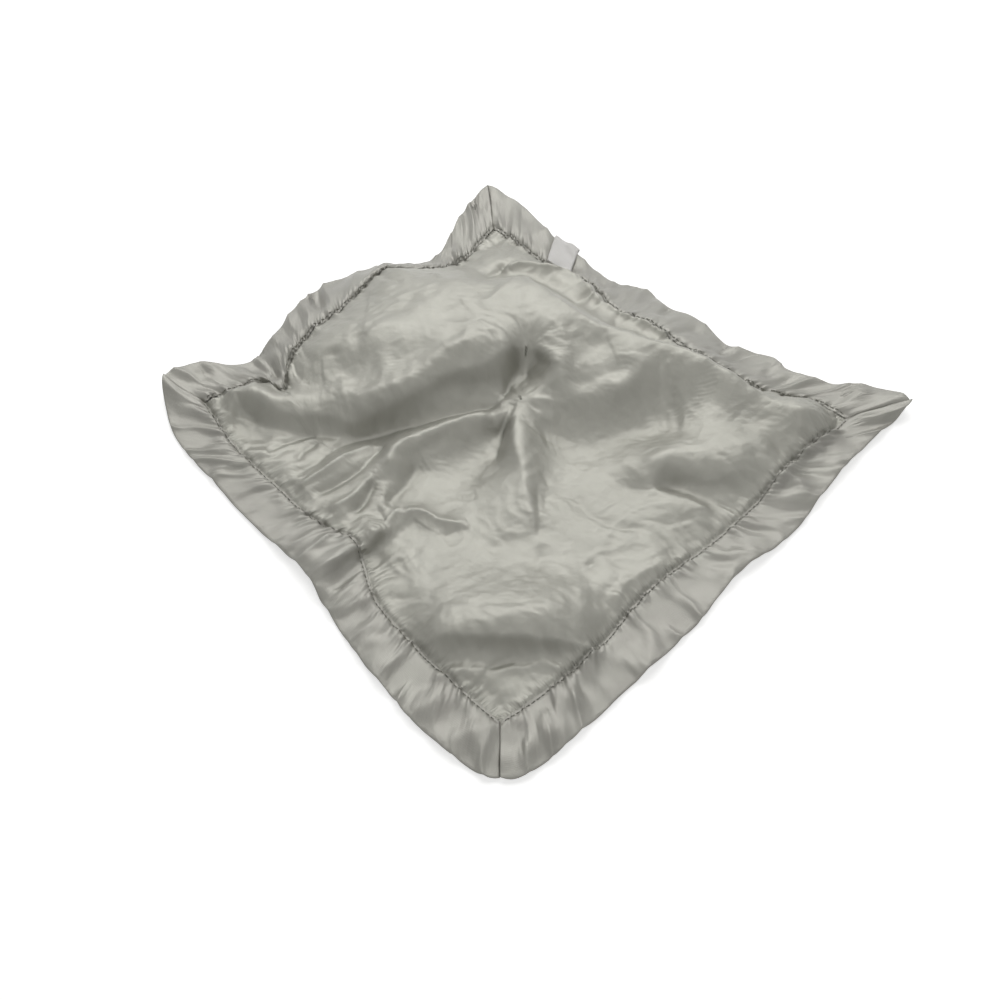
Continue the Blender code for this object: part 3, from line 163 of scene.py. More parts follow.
# The small folds: height and then width to the left and to the right of the line, in millimetres, and the
# line's places as shares. A crease has its height below nought.
small_fold_shares = [
    # the crest over the head's near side, the creases at its foot, the pleats that run from the front tack to
    # the left ribbon, and the s-shaped folds where they end
    (3.4, 6, 3, [(-0.7, -0.75), (-0.69, -0.72), (-0.63, -0.69), (-0.56, -0.68), (-0.5, -0.66), (-0.45, -0.63),
     (-0.4, -0.58), (-0.35, -0.54), (-0.29, -0.51), (-0.25, -0.47), (-0.22, -0.42), (-0.19, -0.37),
     (-0.15, -0.28), (-0.12, -0.19), (-0.07, -0.08), (-0.03, 0.01), (-0.01, 0.1), (0.03, 0.17), (0.14, 0.17),
     (0.21, 0.2)]),
    (-2.5, 5, 3, [(-0.65, -0.74), (-0.55, -0.73), (-0.48, -0.7), (-0.39, -0.64), (-0.26, -0.53),
     (-0.15, -0.4), (-0.04, -0.27), (0.02, -0.15), (0.07, -0.05)]),
    (1.4, 2.4, 2.4, [(-0.26, -0.53), (-0.14, -0.38), (-0.05, -0.28), (0.01, -0.19)]),
    (-2.6, 3.2, 5, [(-0.27, -0.83), (-0.24, -0.73), (-0.25, -0.65), (-0.25, -0.57), (-0.2, -0.46),
     (-0.09, -0.33), (0.01, -0.16), (0.08, -0.04)]),
    (3.9, 7, 4.5, [(0.02, -0.6), (-0.01, -0.56), (-0.04, -0.52), (-0.05, -0.47), (-0.03, -0.42), (0.0, -0.35),
     (0.02, -0.28), (0.05, -0.2), (0.12, -0.1)]),
    (-2.8, 4, 7, [(-0.03, -0.52), (0.0, -0.47), (0.02, -0.38), (0.04, -0.26), (0.07, -0.16), (0.09, -0.08)]),
    (-4.6, 4.5, 6, [(0.12, -0.7), (0.09, -0.64), (0.07, -0.56), (0.04, -0.48), (0.02, -0.41)]),
    (2.4, 3.5, 4, [(0.02, -0.6), (0.06, -0.64), (0.1, -0.68), (0.14, -0.73)]),
    (3.1, 3.2, 3.2, [(0.15, -0.74), (0.17, -0.74), (0.16, -0.69), (0.15, -0.63)]),
    (3.8, 4.5, 3.4, [(0.18, -0.85), (0.19, -0.81), (0.2, -0.76), (0.2, -0.72), (0.19, -0.67), (0.19, -0.63),
     (0.23, -0.6), (0.29, -0.59), (0.35, -0.56), (0.4, -0.53)]),
    (-4.1, 3.5, 6, [(0.24, -0.92), (0.22, -0.85), (0.21, -0.78), (0.2, -0.72), (0.18, -0.65), (0.18, -0.62)]),
    # the fan of creases between the crest and the front ribbon
    (-2.9, 2.2, 3, [(-0.29, -0.79), (-0.32, -0.72), (-0.33, -0.66), (-0.33, -0.61)]),
    (-2.8, 2.4, 2.4, [(-0.41, -0.84), (-0.41, -0.75), (-0.39, -0.67), (-0.36, -0.6)]),
    (2.9, 3.6, 2.6, [(-0.19, -0.87), (-0.18, -0.75), (-0.17, -0.61), (-0.15, -0.48)]),
    (-4, 3, 3.2, [(-0.14, -0.83), (-0.11, -0.74), (-0.1, -0.63), (-0.11, -0.52), (-0.09, -0.47)]),
    (3.4, 3.4, 2.8, [(-0.03, -0.86), (-0.01, -0.75), (-0.02, -0.65), (-0.01, -0.58)]),
    (-3.6, 2.6, 2.6, [(0.03, -0.81), (0.03, -0.73), (0.0, -0.65), (-0.03, -0.59)]),
    # round the two tacks
    (-3.4, 2.6, 2.8, [(-0.01, 0.16), (0.02, 0.06), (0.04, 0.01), (0.07, -0.05)]),
    (1.8, 3.2, 2.6, [(-0.08, -0.15), (-0.06, -0.1), (-0.02, -0.02), (0.0, 0.06), (0.01, 0.12)]),
    (-1, 2, 2, [(-0.04, 0.05), (-0.02, 0.1), (0.0, 0.15)]),
    (-1.4, 2.5, 2.5, [(0.0, 0.15), (0.03, 0.17), (0.09, 0.16), (0.15, 0.14)]),
    (-1.4, 3.1, 3.1, [(0.01, 0.15), (0.05, 0.11), (0.1, 0.06)]),
    (1.8, 3.2, 2.6, [(0.13, -0.01), (0.16, 0.02), (0.2, 0.05), (0.25, 0.06), (0.28, 0.07)]),
    (2.8, 3.2, 4.5, [(0.28, 0.07), (0.27, 0.04), (0.24, 0.01), (0.2, -0.01), (0.18, -0.03)]),
    # the long fold down the middle, the creases beside it and the patches round it
    (2.6, 7, 3.5, [(0.18, -0.03), (0.18, -0.08), (0.2, -0.12), (0.27, -0.18), (0.34, -0.22), (0.4, -0.27),
     (0.47, -0.33), (0.54, -0.36), (0.59, -0.4)]),
    (-3.2, 2.4, 3.6, [(0.11, 0.0), (0.13, -0.07), (0.15, -0.11), (0.18, -0.15), (0.22, -0.22),
     (0.26, -0.26)]),
    (1.5, 2.2, 2.2, [(0.12, -0.03), (0.13, -0.1), (0.13, -0.13), (0.13, -0.16)]),
    (-1.3, 2.4, 2.4, [(0.45, -0.22), (0.49, -0.25), (0.53, -0.29), (0.56, -0.33)]),
    (-1.2, 1.9, 1.9, [(0.38, -0.19), (0.4, -0.18), (0.43, -0.19), (0.48, -0.22)]),
    (0.5, 2, 2.6, [(0.62, -0.47), (0.62, -0.44), (0.63, -0.41), (0.66, -0.4), (0.7, -0.4)]),
    (-1.3, 3, 3, [(0.63, -0.42), (0.67, -0.46), (0.7, -0.51), (0.73, -0.55)]),
    (-1.3, 4, 2.5, [(0.51, -0.14), (0.58, -0.17), (0.64, -0.19), (0.71, -0.19), (0.76, -0.17), (0.81, -0.13),
     (0.84, -0.07)]),
    (-1.6, 3, 4, [(0.35, -0.66), (0.36, -0.62), (0.37, -0.57), (0.37, -0.53)]),
    (-0.8, 3.9, 3.9, [(0.26, -0.4), (0.23, -0.36), (0.22, -0.31)]),
    (-1.5, 4, 3.5, [(0.8, -0.45), (0.81, -0.37), (0.82, -0.3)]),
    (-0.8, 6.5, 5.2, [(0.53, -0.6), (0.53, -0.52), (0.55, -0.44)]),
    # across the front corner
    (-1, 5, 3.1, [(0.56, -0.85), (0.68, -0.79), (0.78, -0.7), (0.86, -0.61)]),
    (8, 12, 3.2, [(0.59, -1.03), (0.65, -0.97), (0.71, -0.92), (0.8, -0.84), (0.87, -0.77), (0.97, -0.68),
     (1.05, -0.61), (1.1, -0.55)]),
    (1.8, 3, 4, [(0.73, -1.07), (0.77, -1.02), (0.82, -0.95), (0.89, -0.88), (0.95, -0.8), (1.01, -0.71),
     (1.06, -0.62), (1.08, -0.57)]),
    (1.4, 2.5, 2.5, [(0.77, -1.04), (0.79, -0.99), (0.83, -0.96), (0.89, -0.95)]),
    (-1.2, 2.5, 2.5, [(0.86, -0.93), (0.88, -0.86), (0.92, -0.78)]),
    (1, 2.5, 2.5, [(0.98, -0.75), (1.02, -0.73), (1.03, -0.68)]),
    # inside the right ribbon
    (2.6, 5, 4, [(1.02, -0.43), (0.98, -0.4), (0.96, -0.35), (0.96, -0.28), (0.97, -0.21), (0.99, -0.15),
     (1.0, -0.12)]),
    (-1.4, 5.2, 5.2, [(0.95, -0.51), (0.94, -0.44), (0.93, -0.37), (0.92, -0.29)]),
    (2.6, 8, 3.5, [(0.74, 0.01), (0.73, 0.05), (0.72, 0.09), (0.74, 0.13), (0.76, 0.16), (0.81, 0.19),
     (0.86, 0.22), (0.89, 0.27), (0.92, 0.32), (0.95, 0.38)]),
    (-1.6, 4, 5, [(0.75, 0.09), (0.78, 0.14), (0.82, 0.18), (0.88, 0.22), (0.92, 0.28)]),
    (2, 4, 5, [(0.73, 0.03), (0.77, 0.06), (0.85, 0.1), (0.93, 0.13), (0.97, 0.15)]),
    (-1.7, 6.5, 6.5, [(0.7, -0.06), (0.67, -0.01), (0.65, 0.04), (0.64, 0.1), (0.64, 0.16), (0.67, 0.22)]),
    # the crest from the mound to the right corner, and the folds behind it
    (1.8, 3, 5, [(-0.29, 0.15), (-0.24, 0.18), (-0.24, 0.23), (-0.25, 0.28), (-0.26, 0.34), (-0.36, 0.5),
     (-0.21, 0.39), (-0.12, 0.4), (-0.05, 0.39), (0.01, 0.39), (0.13, 0.41), (0.23, 0.47), (0.31, 0.49),
     (0.37, 0.53), (0.43, 0.56), (0.51, 0.58), (0.61, 0.6), (0.71, 0.62), (0.8, 0.65), (0.89, 0.67),
     (0.94, 0.71), (0.95, 0.76)]),
    (-3.4, 4.5, 4.5, [(-0.34, 0.26), (-0.46, 0.4), (-0.47, 0.46), (-0.46, 0.54), (-0.39, 0.63), (-0.35, 0.73),
     (-0.25, 0.74)]),
    (4.4, 4, 3, [(-0.45, 0.46), (-0.44, 0.52), (-0.41, 0.58), (-0.32, 0.63), (-0.26, 0.68), (-0.16, 0.66),
     (-0.04, 0.62), (0.05, 0.62), (0.16, 0.65), (0.23, 0.66), (0.32, 0.66)]),
    (-1.7, 2.5, 2.5, [(-0.63, 0.76), (-0.56, 0.72), (-0.5, 0.71)]),
    # at the left corner and over the mound
    (2.6, 3.2, 3.6, [(-0.6, -0.82), (-0.67, -0.79), (-0.7, -0.76), (-0.71, -0.73), (-0.68, -0.7)]),
    (-2.2, 4.5, 5, [(-0.61, -0.81), (-0.54, -0.8), (-0.49, -0.77), (-0.46, -0.72)]),
    (-2.4, 6, 6, [(-0.57, -0.53), (-0.52, -0.5), (-0.47, -0.47), (-0.46, -0.43)]),
    (1.6, 4, 4, [(-0.47, -0.4), (-0.41, -0.43), (-0.37, -0.48), (-0.38, -0.52)]),
    (0.8, 6.5, 6.5, [(-0.45, -0.38), (-0.39, -0.41), (-0.32, -0.47)]),
    (-1.5, 3, 4, [(-0.58, -0.41), (-0.56, -0.37), (-0.51, -0.33)]),
    (-1.3, 3, 4, [(-0.54, -0.28), (-0.51, -0.25), (-0.47, -0.22)]),
    (-1.5, 3, 4, [(-0.53, -0.03), (-0.49, 0.01), (-0.43, 0.04)]),
    (-2.2, 7, 7, [(-0.31, -0.3), (-0.28, -0.2), (-0.22, -0.09), (-0.18, 0.06)]),
    (1.4, 1.9, 1.9, [(-0.58, 0.16), (-0.57, 0.2), (-0.5, 0.16)]),
    (0.8, 3.9, 3.9, [(-0.38, 0.09), (-0.33, 0.12), (-0.28, 0.15)]),
    # in the bowl between the mound and the ridge
    (-4, 9, 6, [(0.19, 0.12), (0.24, 0.18), (0.27, 0.23), (0.29, 0.28), (0.33, 0.33), (0.35, 0.41)]),
    (1.8, 6, 6, [(0.34, 0.21), (0.36, 0.26), (0.38, 0.32), (0.38, 0.38), (0.36, 0.44), (0.33, 0.46)]),
    (-0.7, 1.9, 2.5, [(0.42, -0.08), (0.46, 0.0), (0.53, 0.03)]),
    # ruffles of the front ribbon
    (-2.1, 5.2, 5.2, [(-0.65, -1.0), (-0.64, -0.94), (-0.62, -0.87)]),
    (2.7, 3.9, 3.9, [(-0.51, -1.03), (-0.48, -0.97), (-0.44, -0.91)]),
    (-2.1, 3.9, 3.9, [(-0.48, -1.02), (-0.44, -0.95), (-0.42, -0.9)]),
    (2.5, 3.9, 3.9, [(-0.34, -1.05), (-0.32, -0.95), (-0.26, -0.88)]),
    (-1.9, 3.9, 3.9, [(-0.31, -1.03), (-0.29, -0.94), (-0.24, -0.87)]),
    (-1.7, 5.2, 5.2, [(-0.11, -1.05), (-0.12, -0.97), (-0.13, -0.89)]),
    (1.9, 1.9, 1.9, [(0.08, -0.99), (0.07, -0.94), (0.06, -0.88)]),
    (6.5, 9, 3.5, [(0.15, -1.11), (0.16, -1.04), (0.17, -0.96), (0.18, -0.88), (0.19, -0.79), (0.19, -0.7)]),
    (-3, 4, 4, [(0.24, -1.08), (0.23, -1.0), (0.22, -0.91), (0.21, -0.82)]),
    (2.4, 3.5, 4, [(0.29, -1.12), (0.28, -1.05), (0.27, -1.0), (0.28, -0.95)]),
    (-1.9, 5.2, 6.5, [(0.38, -1.12), (0.37, -1.06), (0.36, -0.99)]),
    (1.7, 6.5, 6.5, [(0.48, -1.15), (0.46, -1.07), (0.44, -0.99)]),
    (-4.2, 7.8, 7.8, [(0.72, -1.18), (0.69, -1.12), (0.66, -1.04), (0.63, -0.98)]),
    (2.1, 7.8, 7.8, [(0.63, -1.18), (0.6, -1.1), (0.56, -1.02)]),
    (2.5, 6.5, 5.2, [(0.86, -1.19), (0.82, -1.13), (0.77, -1.05)]),
    (-3.2, 5.2, 5.2, [(0.96, -1.16), (0.91, -1.11), (0.87, -1.04)]),
    (2.5, 5.2, 5.2, [(1.05, -1.18), (1.01, -1.12), (0.94, -1.06)]),
    # ruffles of the right ribbon
    (-6.4, 5, 6, [(1.04, -0.98), (1.09, -1.01), (1.16, -1.06)]),
    (3, 5.2, 5.2, [(1.1, -0.93), (1.16, -0.95), (1.22, -0.96)]),
    (-3.9, 3.9, 3.9, [(1.03, -0.86), (1.08, -0.87), (1.12, -0.88)]),
    (3, 4.5, 4.5, [(1.06, -0.77), (1.13, -0.78), (1.19, -0.8)]),
    (-2.8, 4.5, 4.5, [(1.06, -0.71), (1.12, -0.71), (1.19, -0.73)]),
    (-4.6, 5.2, 3.9, [(1.01, -0.33), (1.08, -0.32), (1.16, -0.38)]),
    (-3.6, 3.9, 3.9, [(1.02, -0.18), (1.09, -0.16), (1.15, -0.16)]),
    (-3, 3.9, 3.9, [(1.01, -0.08), (1.07, -0.06), (1.13, -0.06)]),
    (-3.6, 3.9, 3.9, [(0.99, 0.51), (1.03, 0.57), (1.07, 0.64)]),
    (3.6, 3.9, 3.9, [(1.04, 0.47), (1.1, 0.47), (1.16, 0.47)]),
    (-3, 3.9, 3.9, [(0.99, 0.61), (1.01, 0.67), (1.02, 0.74)]),
    (-5.5, 4, 5, [(0.99, 0.82), (1.03, 0.86), (1.07, 0.9)]),
    # ruffles of the back ribbon
    (-3.2, 3.1, 3.1, [(0.17, 0.73), (0.15, 0.8), (0.13, 0.88)]),
    (-2.7, 3.1, 3.1, [(0.48, 0.74), (0.45, 0.81), (0.42, 0.88)]),
    (-2.5, 3.1, 3.1, [(0.68, 0.78), (0.65, 0.86), (0.62, 0.95)]),
    # ruffles of the left ribbon
    (2.5, 3.9, 3.9, [(-0.83, 0.5), (-0.76, 0.48), (-0.66, 0.43)]),
    (-3.8, 4, 5, [(-0.97, 0.8), (-0.91, 0.79), (-0.84, 0.77)]),
    (2.7, 3.9, 3.9, [(-0.93, -0.22), (-0.85, -0.23), (-0.71, -0.33)]),
    (-2.5, 3.9, 3.9, [(-0.99, -0.15), (-0.89, -0.16), (-0.81, -0.18)]),
    (2.4, 4, 5, [(-0.91, -0.43), (-0.84, -0.41), (-0.69, -0.43)]),
    (-5, 4.5, 5, [(-0.91, -0.48), (-0.84, -0.5), (-0.72, -0.52), (-0.65, -0.54)]),
    (-2.8, 5, 5, [(-0.96, -0.71), (-0.92, -0.72), (-0.87, -0.73)]),
    # broad swells: above the front crest, beside the rear tack, on the mound and at the right corner
    (3, 10, 14, [(0.56, -0.91), (0.68, -0.81), (0.8, -0.7), (0.91, -0.59), (0.98, -0.54)]),
    (2.5, 9, 4, [(-0.2, -0.17), (-0.15, -0.05), (-0.1, 0.06)]),
    (-1.6, 4, 6, [(-0.61, -0.2), (-0.53, -0.1), (-0.42, -0.01)]),
    (4.5, 9, 12, [(0.88, 0.59), (0.93, 0.68), (0.96, 0.83)]),
    (3, 12, 8, [(-0.07, 0.1), (-0.05, 0.2), (0.02, 0.24), (0.09, 0.25)]),
    (4.5, 14, 10, [(0.47, 0.4), (0.54, 0.48), (0.64, 0.53)]),
    (-4.6, 28, 9, [(-0.61, -0.67), (-0.45, -0.57), (-0.3, -0.46), (-0.19, -0.33)]),
    (-2.6, 24, 7, [(-0.22, -0.39), (-0.12, -0.19), (-0.04, 0.05)]),
    # lip of the left ribbon's notch, and the tips of three corners
    (5, 5, 3, [(-0.9, -0.52), (-0.82, -0.52), (-0.71, -0.53)]),
    (3, 4, 3, [(-0.98, 0.8), (-0.9, 0.8), (-0.81, 0.8)]),
    (4, 4, 3, [(1.08, -1.04), (1.13, -1.02), (1.18, -0.99)]),
    (4, 3, 4, [(0.91, 1.02), (0.97, 1.02), (1.02, 1.04)]),
    # broad shoulders above the right fold, along the right seam and above the rear tack
    (7, 20, 13, [(0.59, 0.3), (0.65, 0.43), (0.74, 0.53), (0.82, 0.61)]),
    (6, 20, 3.5, [(1.03, 0.23), (1.03, 0.41), (1.02, 0.59), (1.02, 0.76), (1.01, 0.85)]),
    (5, 13, 4, [(-0.08, -0.07), (-0.03, 0.04), (-0.01, 0.16), (0.09, 0.19), (0.2, 0.21)]),
    # faint creases at the mound's foot and in the bowl
    (-1.6, 4, 4, [(-0.73, -0.78), (-0.64, -0.8), (-0.54, -0.82)]),
    (-1.2, 4, 4, [(-0.14, -0.27), (-0.09, -0.17), (-0.03, -0.07), (0.04, 0.0)]),
    (1, 3, 3, [(-0.14, -0.22), (-0.1, -0.14), (-0.05, -0.05), (-0.01, 0.04)]),
    (1.8, 4, 5, [(0.23, 0.09), (0.31, 0.18), (0.37, 0.27), (0.41, 0.35)]),
    (-0.8, 5, 5, [(0.25, 0.25), (0.31, 0.32), (0.35, 0.41)]),
    # the ribbon behind the mound, three more ruffles of the right ribbon, and the middle's thin line
    (-5, 7, 4, [(-1.03, 0.22), (-0.99, 0.3), (-0.92, 0.38), (-0.84, 0.45)]),
    (-3.8, 4, 4, [(1.03, -0.48), (1.09, -0.48), (1.15, -0.47)]),
    (-3.5, 4, 4, [(1.01, 0.09), (1.07, 0.1), (1.13, 0.1)]),
    (-3.2, 4, 4, [(1.0, 0.28), (1.06, 0.29), (1.13, 0.3)]),
    (-1.6, 2.2, 2.2, [(0.42, -0.23), (0.49, -0.29), (0.58, -0.37), (0.62, -0.42)]),
]


def along(points, places):
    """A smooth line through the points, read at places from 0 to 1 along its plan."""
    p = np.asarray(points, float)
    reach = np.concatenate([[0.0], np.cumsum(np.hypot(*np.diff(p[:, :2], axis=0).T))])
    reach /= reach[-1]
    slope = np.zeros_like(p)
    slope[1:-1] = (p[2:] - p[:-2]) / (reach[2:] - reach[:-2])[:, None]
    slope[0] = (p[1] - p[0]) / (reach[1] - reach[0])
    slope[-1] = (p[-1] - p[-2]) / (reach[-1] - reach[-2])
    places = np.clip(np.asarray(places, float), 0.0, 1.0)
    i = np.clip(np.searchsorted(reach, places, side="right") - 1, 0, len(reach) - 2)
    span = (reach[i + 1] - reach[i])[..., None]
    t = (places - reach[i])[..., None] / span
    return ((2 * t**3 - 3 * t**2 + 1) * p[i] + (t**3 - 2 * t**2 + t) * span * slope[i]
            + (3 * t**2 - 2 * t**3) * p[i + 1] + (t**3 - t**2) * span * slope[i + 1])


def read_points():
    """Points at even distances along every seam, hem and large fold."""
    found = []
    for line in [*seam_shares.values(), *hem_shares.values(), *large_fold_shares]:
        line = np.asarray(line, float)
        reach = np.concatenate([[0.0], np.cumsum(np.hypot(*np.diff(line[:, :2], axis=0).T))])
        stops = np.linspace(0.0, reach[-1], max(1, math.ceil(reach[-1] / READ_STEP_SHARE) + 1))
        for point in np.stack([np.interp(stops, reach, line[:, k]) for k in range(3)], axis=1):
            if all(math.hypot(*(point[:2] - q[:2])) > READ_GAP_SHARE for q in found):
                found.append(point)
    return np.array(found)


def plate_bend(squared):
    """How far a thin plate bends at a squared distance from a point that holds it."""
    return 0.5 * squared * np.log(squared + 1e-12)


drape_points = read_points()
bend = plate_bend(((drape_points[:, None, :2] - drape_points[None, :, :2]) ** 2).sum(-1))
bend += PLATE_SOFTNESS * np.eye(len(drape_points))
tilt = np.c_[np.ones(len(drape_points)), drape_points[:, :2]]
drape_weights = np.linalg.solve(np.block([[bend, tilt], [tilt.T, np.zeros((3, 3))]]),
                                np.r_[drape_points[:, 2], np.zeros(3)])


def drape_height(plan):
    """Height of the large folds in metres: a thin plate bent over all the points read."""
    flat = plan.reshape(-1, 2)
    count = len(drape_points)
    height = drape_weights[count] + flat @ drape_weights[count + 1:]
    for first in range(0, len(flat), ROWS_AT_ONCE):
        part = flat[first:first + ROWS_AT_ONCE]
        squared = ((part[:, None] - drape_points[None, :, :2]) ** 2).sum(-1)
        height[first:first + ROWS_AT_ONCE] += plate_bend(squared) @ drape_weights[:count]
    return np.maximum(height.reshape(plan.shape[:-1]) * DRAPE_HEIGHT, -HEM_DROP)


def up_from_cloth(plan):
    """Directions straight out of the draped cloth."""
    step_share = 0.028
    ways = []
    for shift in ([step_share, 0.0], [0.0, step_share]):
        rise = drape_height(plan + shift) - drape_height(plan - shift)
        ways.append(-rise / (2 * step_share * PANEL_HALF))
    normals = np.stack([*ways, np.ones_like(ways[0])], axis=-1)
    return normals / np.linalg.norm(normals, axis=-1, keepdims=True)


def uneven(x, y, seed):
    """Smooth random bumps about one unit apart, from about -0.7 to 0.7."""
    cells = 64
    slopes = np.random.RandomState(seed).uniform(0.0, math.tau, (cells, cells))
    x, y = np.broadcast_arrays(np.asarray(x, float), np.asarray(y, float))
    column, row = np.floor(x).astype(int), np.floor(y).astype(int)
    fx, fy = x - column, y - row
    ease_x, ease_y = (t**3 * (t * (t * 6 - 15) + 10) for t in (fx, fy))
    corner = {}
    for i in (0, 1):
        for j in (0, 1):
            turn = slopes[(column + i) % cells, (row + j) % cells]
            corner[i, j] = np.cos(turn) * (fx - i) + np.sin(turn) * (fy - j)
    low = corner[0, 0] + ease_x * (corner[1, 0] - corner[0, 0])
    high = corner[0, 1] + ease_x * (corner[1, 1] - corner[0, 1])
    return low + ease_y * (high - low)


def small_folds(plan):
    """Height in metres that the small folds add: each is steep beside its line and flattens away from it."""
    flat = plan.reshape(-1, 2)
    wander_share, step_share = 0.008, 0.008
    flat = flat + wander_share * np.stack([uneven(*(flat.T * 5), seed) for seed in (11, 12)], axis=-1)
    total = np.zeros(len(flat))
    for height, left, right, places in small_fold_shares:
        reach = np.hypot(*np.diff(np.array(places), axis=0).T).sum()
        line = along(places, np.linspace(0.0, 1.0, max(6, int(reach / step_share))))
        ahead = np.gradient(line, axis=0)
        widest = max(left, right) / 1000 / PANEL_HALF
        far = 5 * widest
        near = np.all((flat > line.min(axis=0) - far) & (flat < line.max(axis=0) + far), axis=1)
        here = flat[near]
        if not len(here):
            continue
        gap = here[:, None] - line[None]
        squared = (gap**2).sum(-1)
        nearest = squared.argmin(axis=1)
        row = np.arange(len(here))
        off = gap[row, nearest]
        on_left = ahead[nearest, 0] * off[:, 1] - ahead[nearest, 1] * off[:, 0] > 0
        width = np.where(on_left, left, right) / 1000 / PANEL_HALF
        away = np.sqrt(squared[row, nearest])
        # a broad fold has a rounder top than a narrow one
        round_top = 0.3 * width + np.maximum(0.9 * width - 0.035, 0.0)
        fall = np.exp(-(np.hypot(away, round_top) - round_top) / width)
        end = np.minimum(nearest, len(line) - 1 - nearest) / (len(line) - 1) * reach * PANEL_HALF
        # it eases in over 9 mm at its ends, over more where it is broad and over less where it is short
        fade = min(max(0.009, 0.0018 * max(left, right)), 0.45 * reach * PANEL_HALF)
        ease = np.clip(end / fade, 0.0, 1.0)
        total[near] += height / 1000 * fall * ease * ease * (3 - 2 * ease)
    return total.reshape(plan.shape[:-1])


rear_tack_shares = (0.0, 0.15)
front_tack_shares = (0.12, 0.0)


def creases(x, y, size, stretch, heading, seed):
    """Sharp soft-sided creases a size apart, longer than wide by the stretch, that wander about a heading."""
    turn = math.radians(heading)
    ahead, aside = x * math.cos(turn) + y * math.sin(turn), y * math.cos(turn) - x * math.sin(turn)
    aside = aside + 0.9 * size * uneven(x / size / 2.2, y / size / 2.2, seed + 1)
    return 0.22 - np.abs(uneven(ahead / size / stretch, aside / size, seed))


def wrinkles(plan):
    """Height in metres of the soft creases that use has left, with small pleats round both tacks."""
    x, y = plan[..., 0], plan[..., 1]
    where = np.clip(0.5 + 1.6 * uneven(x * 3, y * 3, 23), 0.0, 1.0)
    elsewhere = np.clip(0.5 + 1.6 * uneven(x * 4, y * 4, 28), 0.0, 1.0)
    height = 0.0014 * where * creases(x, y, 0.17, 2.4, 20, 24)
    height += 0.0012 * elsewhere * creases(x, y, 0.12, 2.6, -55, 31)
    height += 0.0011 * (1 - where) * creases(x, y, 0.065, 2.2, 75, 33)
    height += 0.0011 * where * creases(x, y, 0.06, 2.0, -15, 35)
    height += 0.00055 * (1 - 0.5 * elsewhere) * creases(x, y, 0.03, 2.0, 40, 37)
    for middle, seed in ((rear_tack_shares, 26), (front_tack_shares, 27)):
        out_x, out_y = x - middle[0], y - middle[1]
        away = np.hypot(out_x, out_y)
        ring = uneven(2.6 * out_x / (away + 0.01), 2.6 * out_y / (away + 0.01), seed)
        height += 0.0034 * (0.2 - np.abs(ring)) * away / (away + 0.05) * np.exp(-away / 0.16)
    return height


def puckers(run, reach, seed):
    """Height in metres of the gathers along a seam: run along it, reach out from it over the ribbon."""
    # tight, middling and wide gathers reach 3, 7.5 and 20 mm from the seam, and ruffles start further out
    away = np.abs(reach)
    sway = run + 0.006 * uneven(run / 0.03, reach / 0.018, seed + 6)
    tight = np.abs(uneven(run / 0.0030, reach / 0.010 + 7, seed)) - 0.22
    middling = np.abs(uneven(sway / 0.0062 + 5, reach / 0.030, seed + 4)) - 0.22
    wide = np.abs(uneven(sway / 0.0120 + 3, reach / 0.045, seed + 1)) - 0.22
    height = 0.0044 * tight * np.exp(-away / 0.0030) + 0.0036 * middling * np.exp(-away / 0.0075)
    height += 0.0056 * wide * np.exp(-away / 0.020)
    ruffle = uneven(sway / 0.028, reach / 0.05, seed + 2) + 0.30
    flute = 0.25 - np.abs(uneven(sway / 0.0150, reach / 0.05, seed + 3))
    spread = np.clip(reach / 0.020, 0.0, 1.2)
    height += (0.0028 * ruffle + 0.0052 * flute) * spread
    stitch_groove = 0.0012 * np.exp(-(away / 0.0013) ** 2)
    return height - stitch_groove


def seam_length(side):
    """Length of a seam in metres, in plan."""
    line = along(seam_shares[side], np.linspace(0.0, 1.0, 200))
    return np.hypot(*np.diff(line[:, :2], axis=0).T).sum() * PANEL_HALF


def ribbon_plan(side, place, out):
    """Plan shares of the ribbon at a place along its side, out metres from the seam."""
    seam = along(seam_shares[side], place)[..., :2]
    hem = along(hem_shares[side], place)[..., :2]
    return seam + (hem - seam) * (out / (table_ribbon_share * PANEL_HALF))[..., None]


def panel_plan(u, v):
    """Plan shares of the panel at u along X and v along Y, filled in between its four seams."""
    front, back = along(seam_shares["front"], u)[..., :2], along(seam_shares["back"], u)[..., :2]
    left, right = along(seam_shares["left"], v)[..., :2], along(seam_shares["right"], v)[..., :2]
    corner = {key: np.array(seam_shares[side][end][:2]) for key, side, end in
              (("left", "front", 0), ("front", "front", -1), ("back", "back", 0), ("right", "back", -1))}
    u, v = np.asarray(u)[..., None], np.asarray(v)[..., None]
    twice = ((1 - u) * (1 - v) * corner["left"] + u * (1 - v) * corner["front"]
             + (1 - u) * v * corner["back"] + u * v * corner["right"])
    return (1 - v) * front + v * back + (1 - u) * left + u * right - twice


sides = ("front", "right", "back", "left")
seam_seeds = {"front": 41, "right": 51, "back": 61, "left": 71}
hem_places = np.linspace(0.0, 1.0, 23)
hem_plan = np.concatenate([ribbon_plan(side, hem_places, np.full(23, RIBBON_WIDTH)) for side in sides])
blanket_middle = np.append((hem_plan.max(axis=0) + hem_plan.min(axis=0)) / 2 * PANEL_HALF, 0.0)


def cloth(plan, gathers):
    """Points between the two cloths, in metres, with the height of the gathers given."""
    height = CLOTH_REST + drape_height(plan) + small_folds(plan) + wrinkles(plan) + gathers
    # it can't sink into the table, and comes to rest softly over a height of 0.4 mm
    soft = 0.0004
    low = CLOTH_REST - HEM_DROP + soft
    height = low + soft * np.logaddexp(0.0, (height - low) / soft)
    return np.concatenate([plan * PANEL_HALF, height[..., None]], axis=-1) - blanket_middle


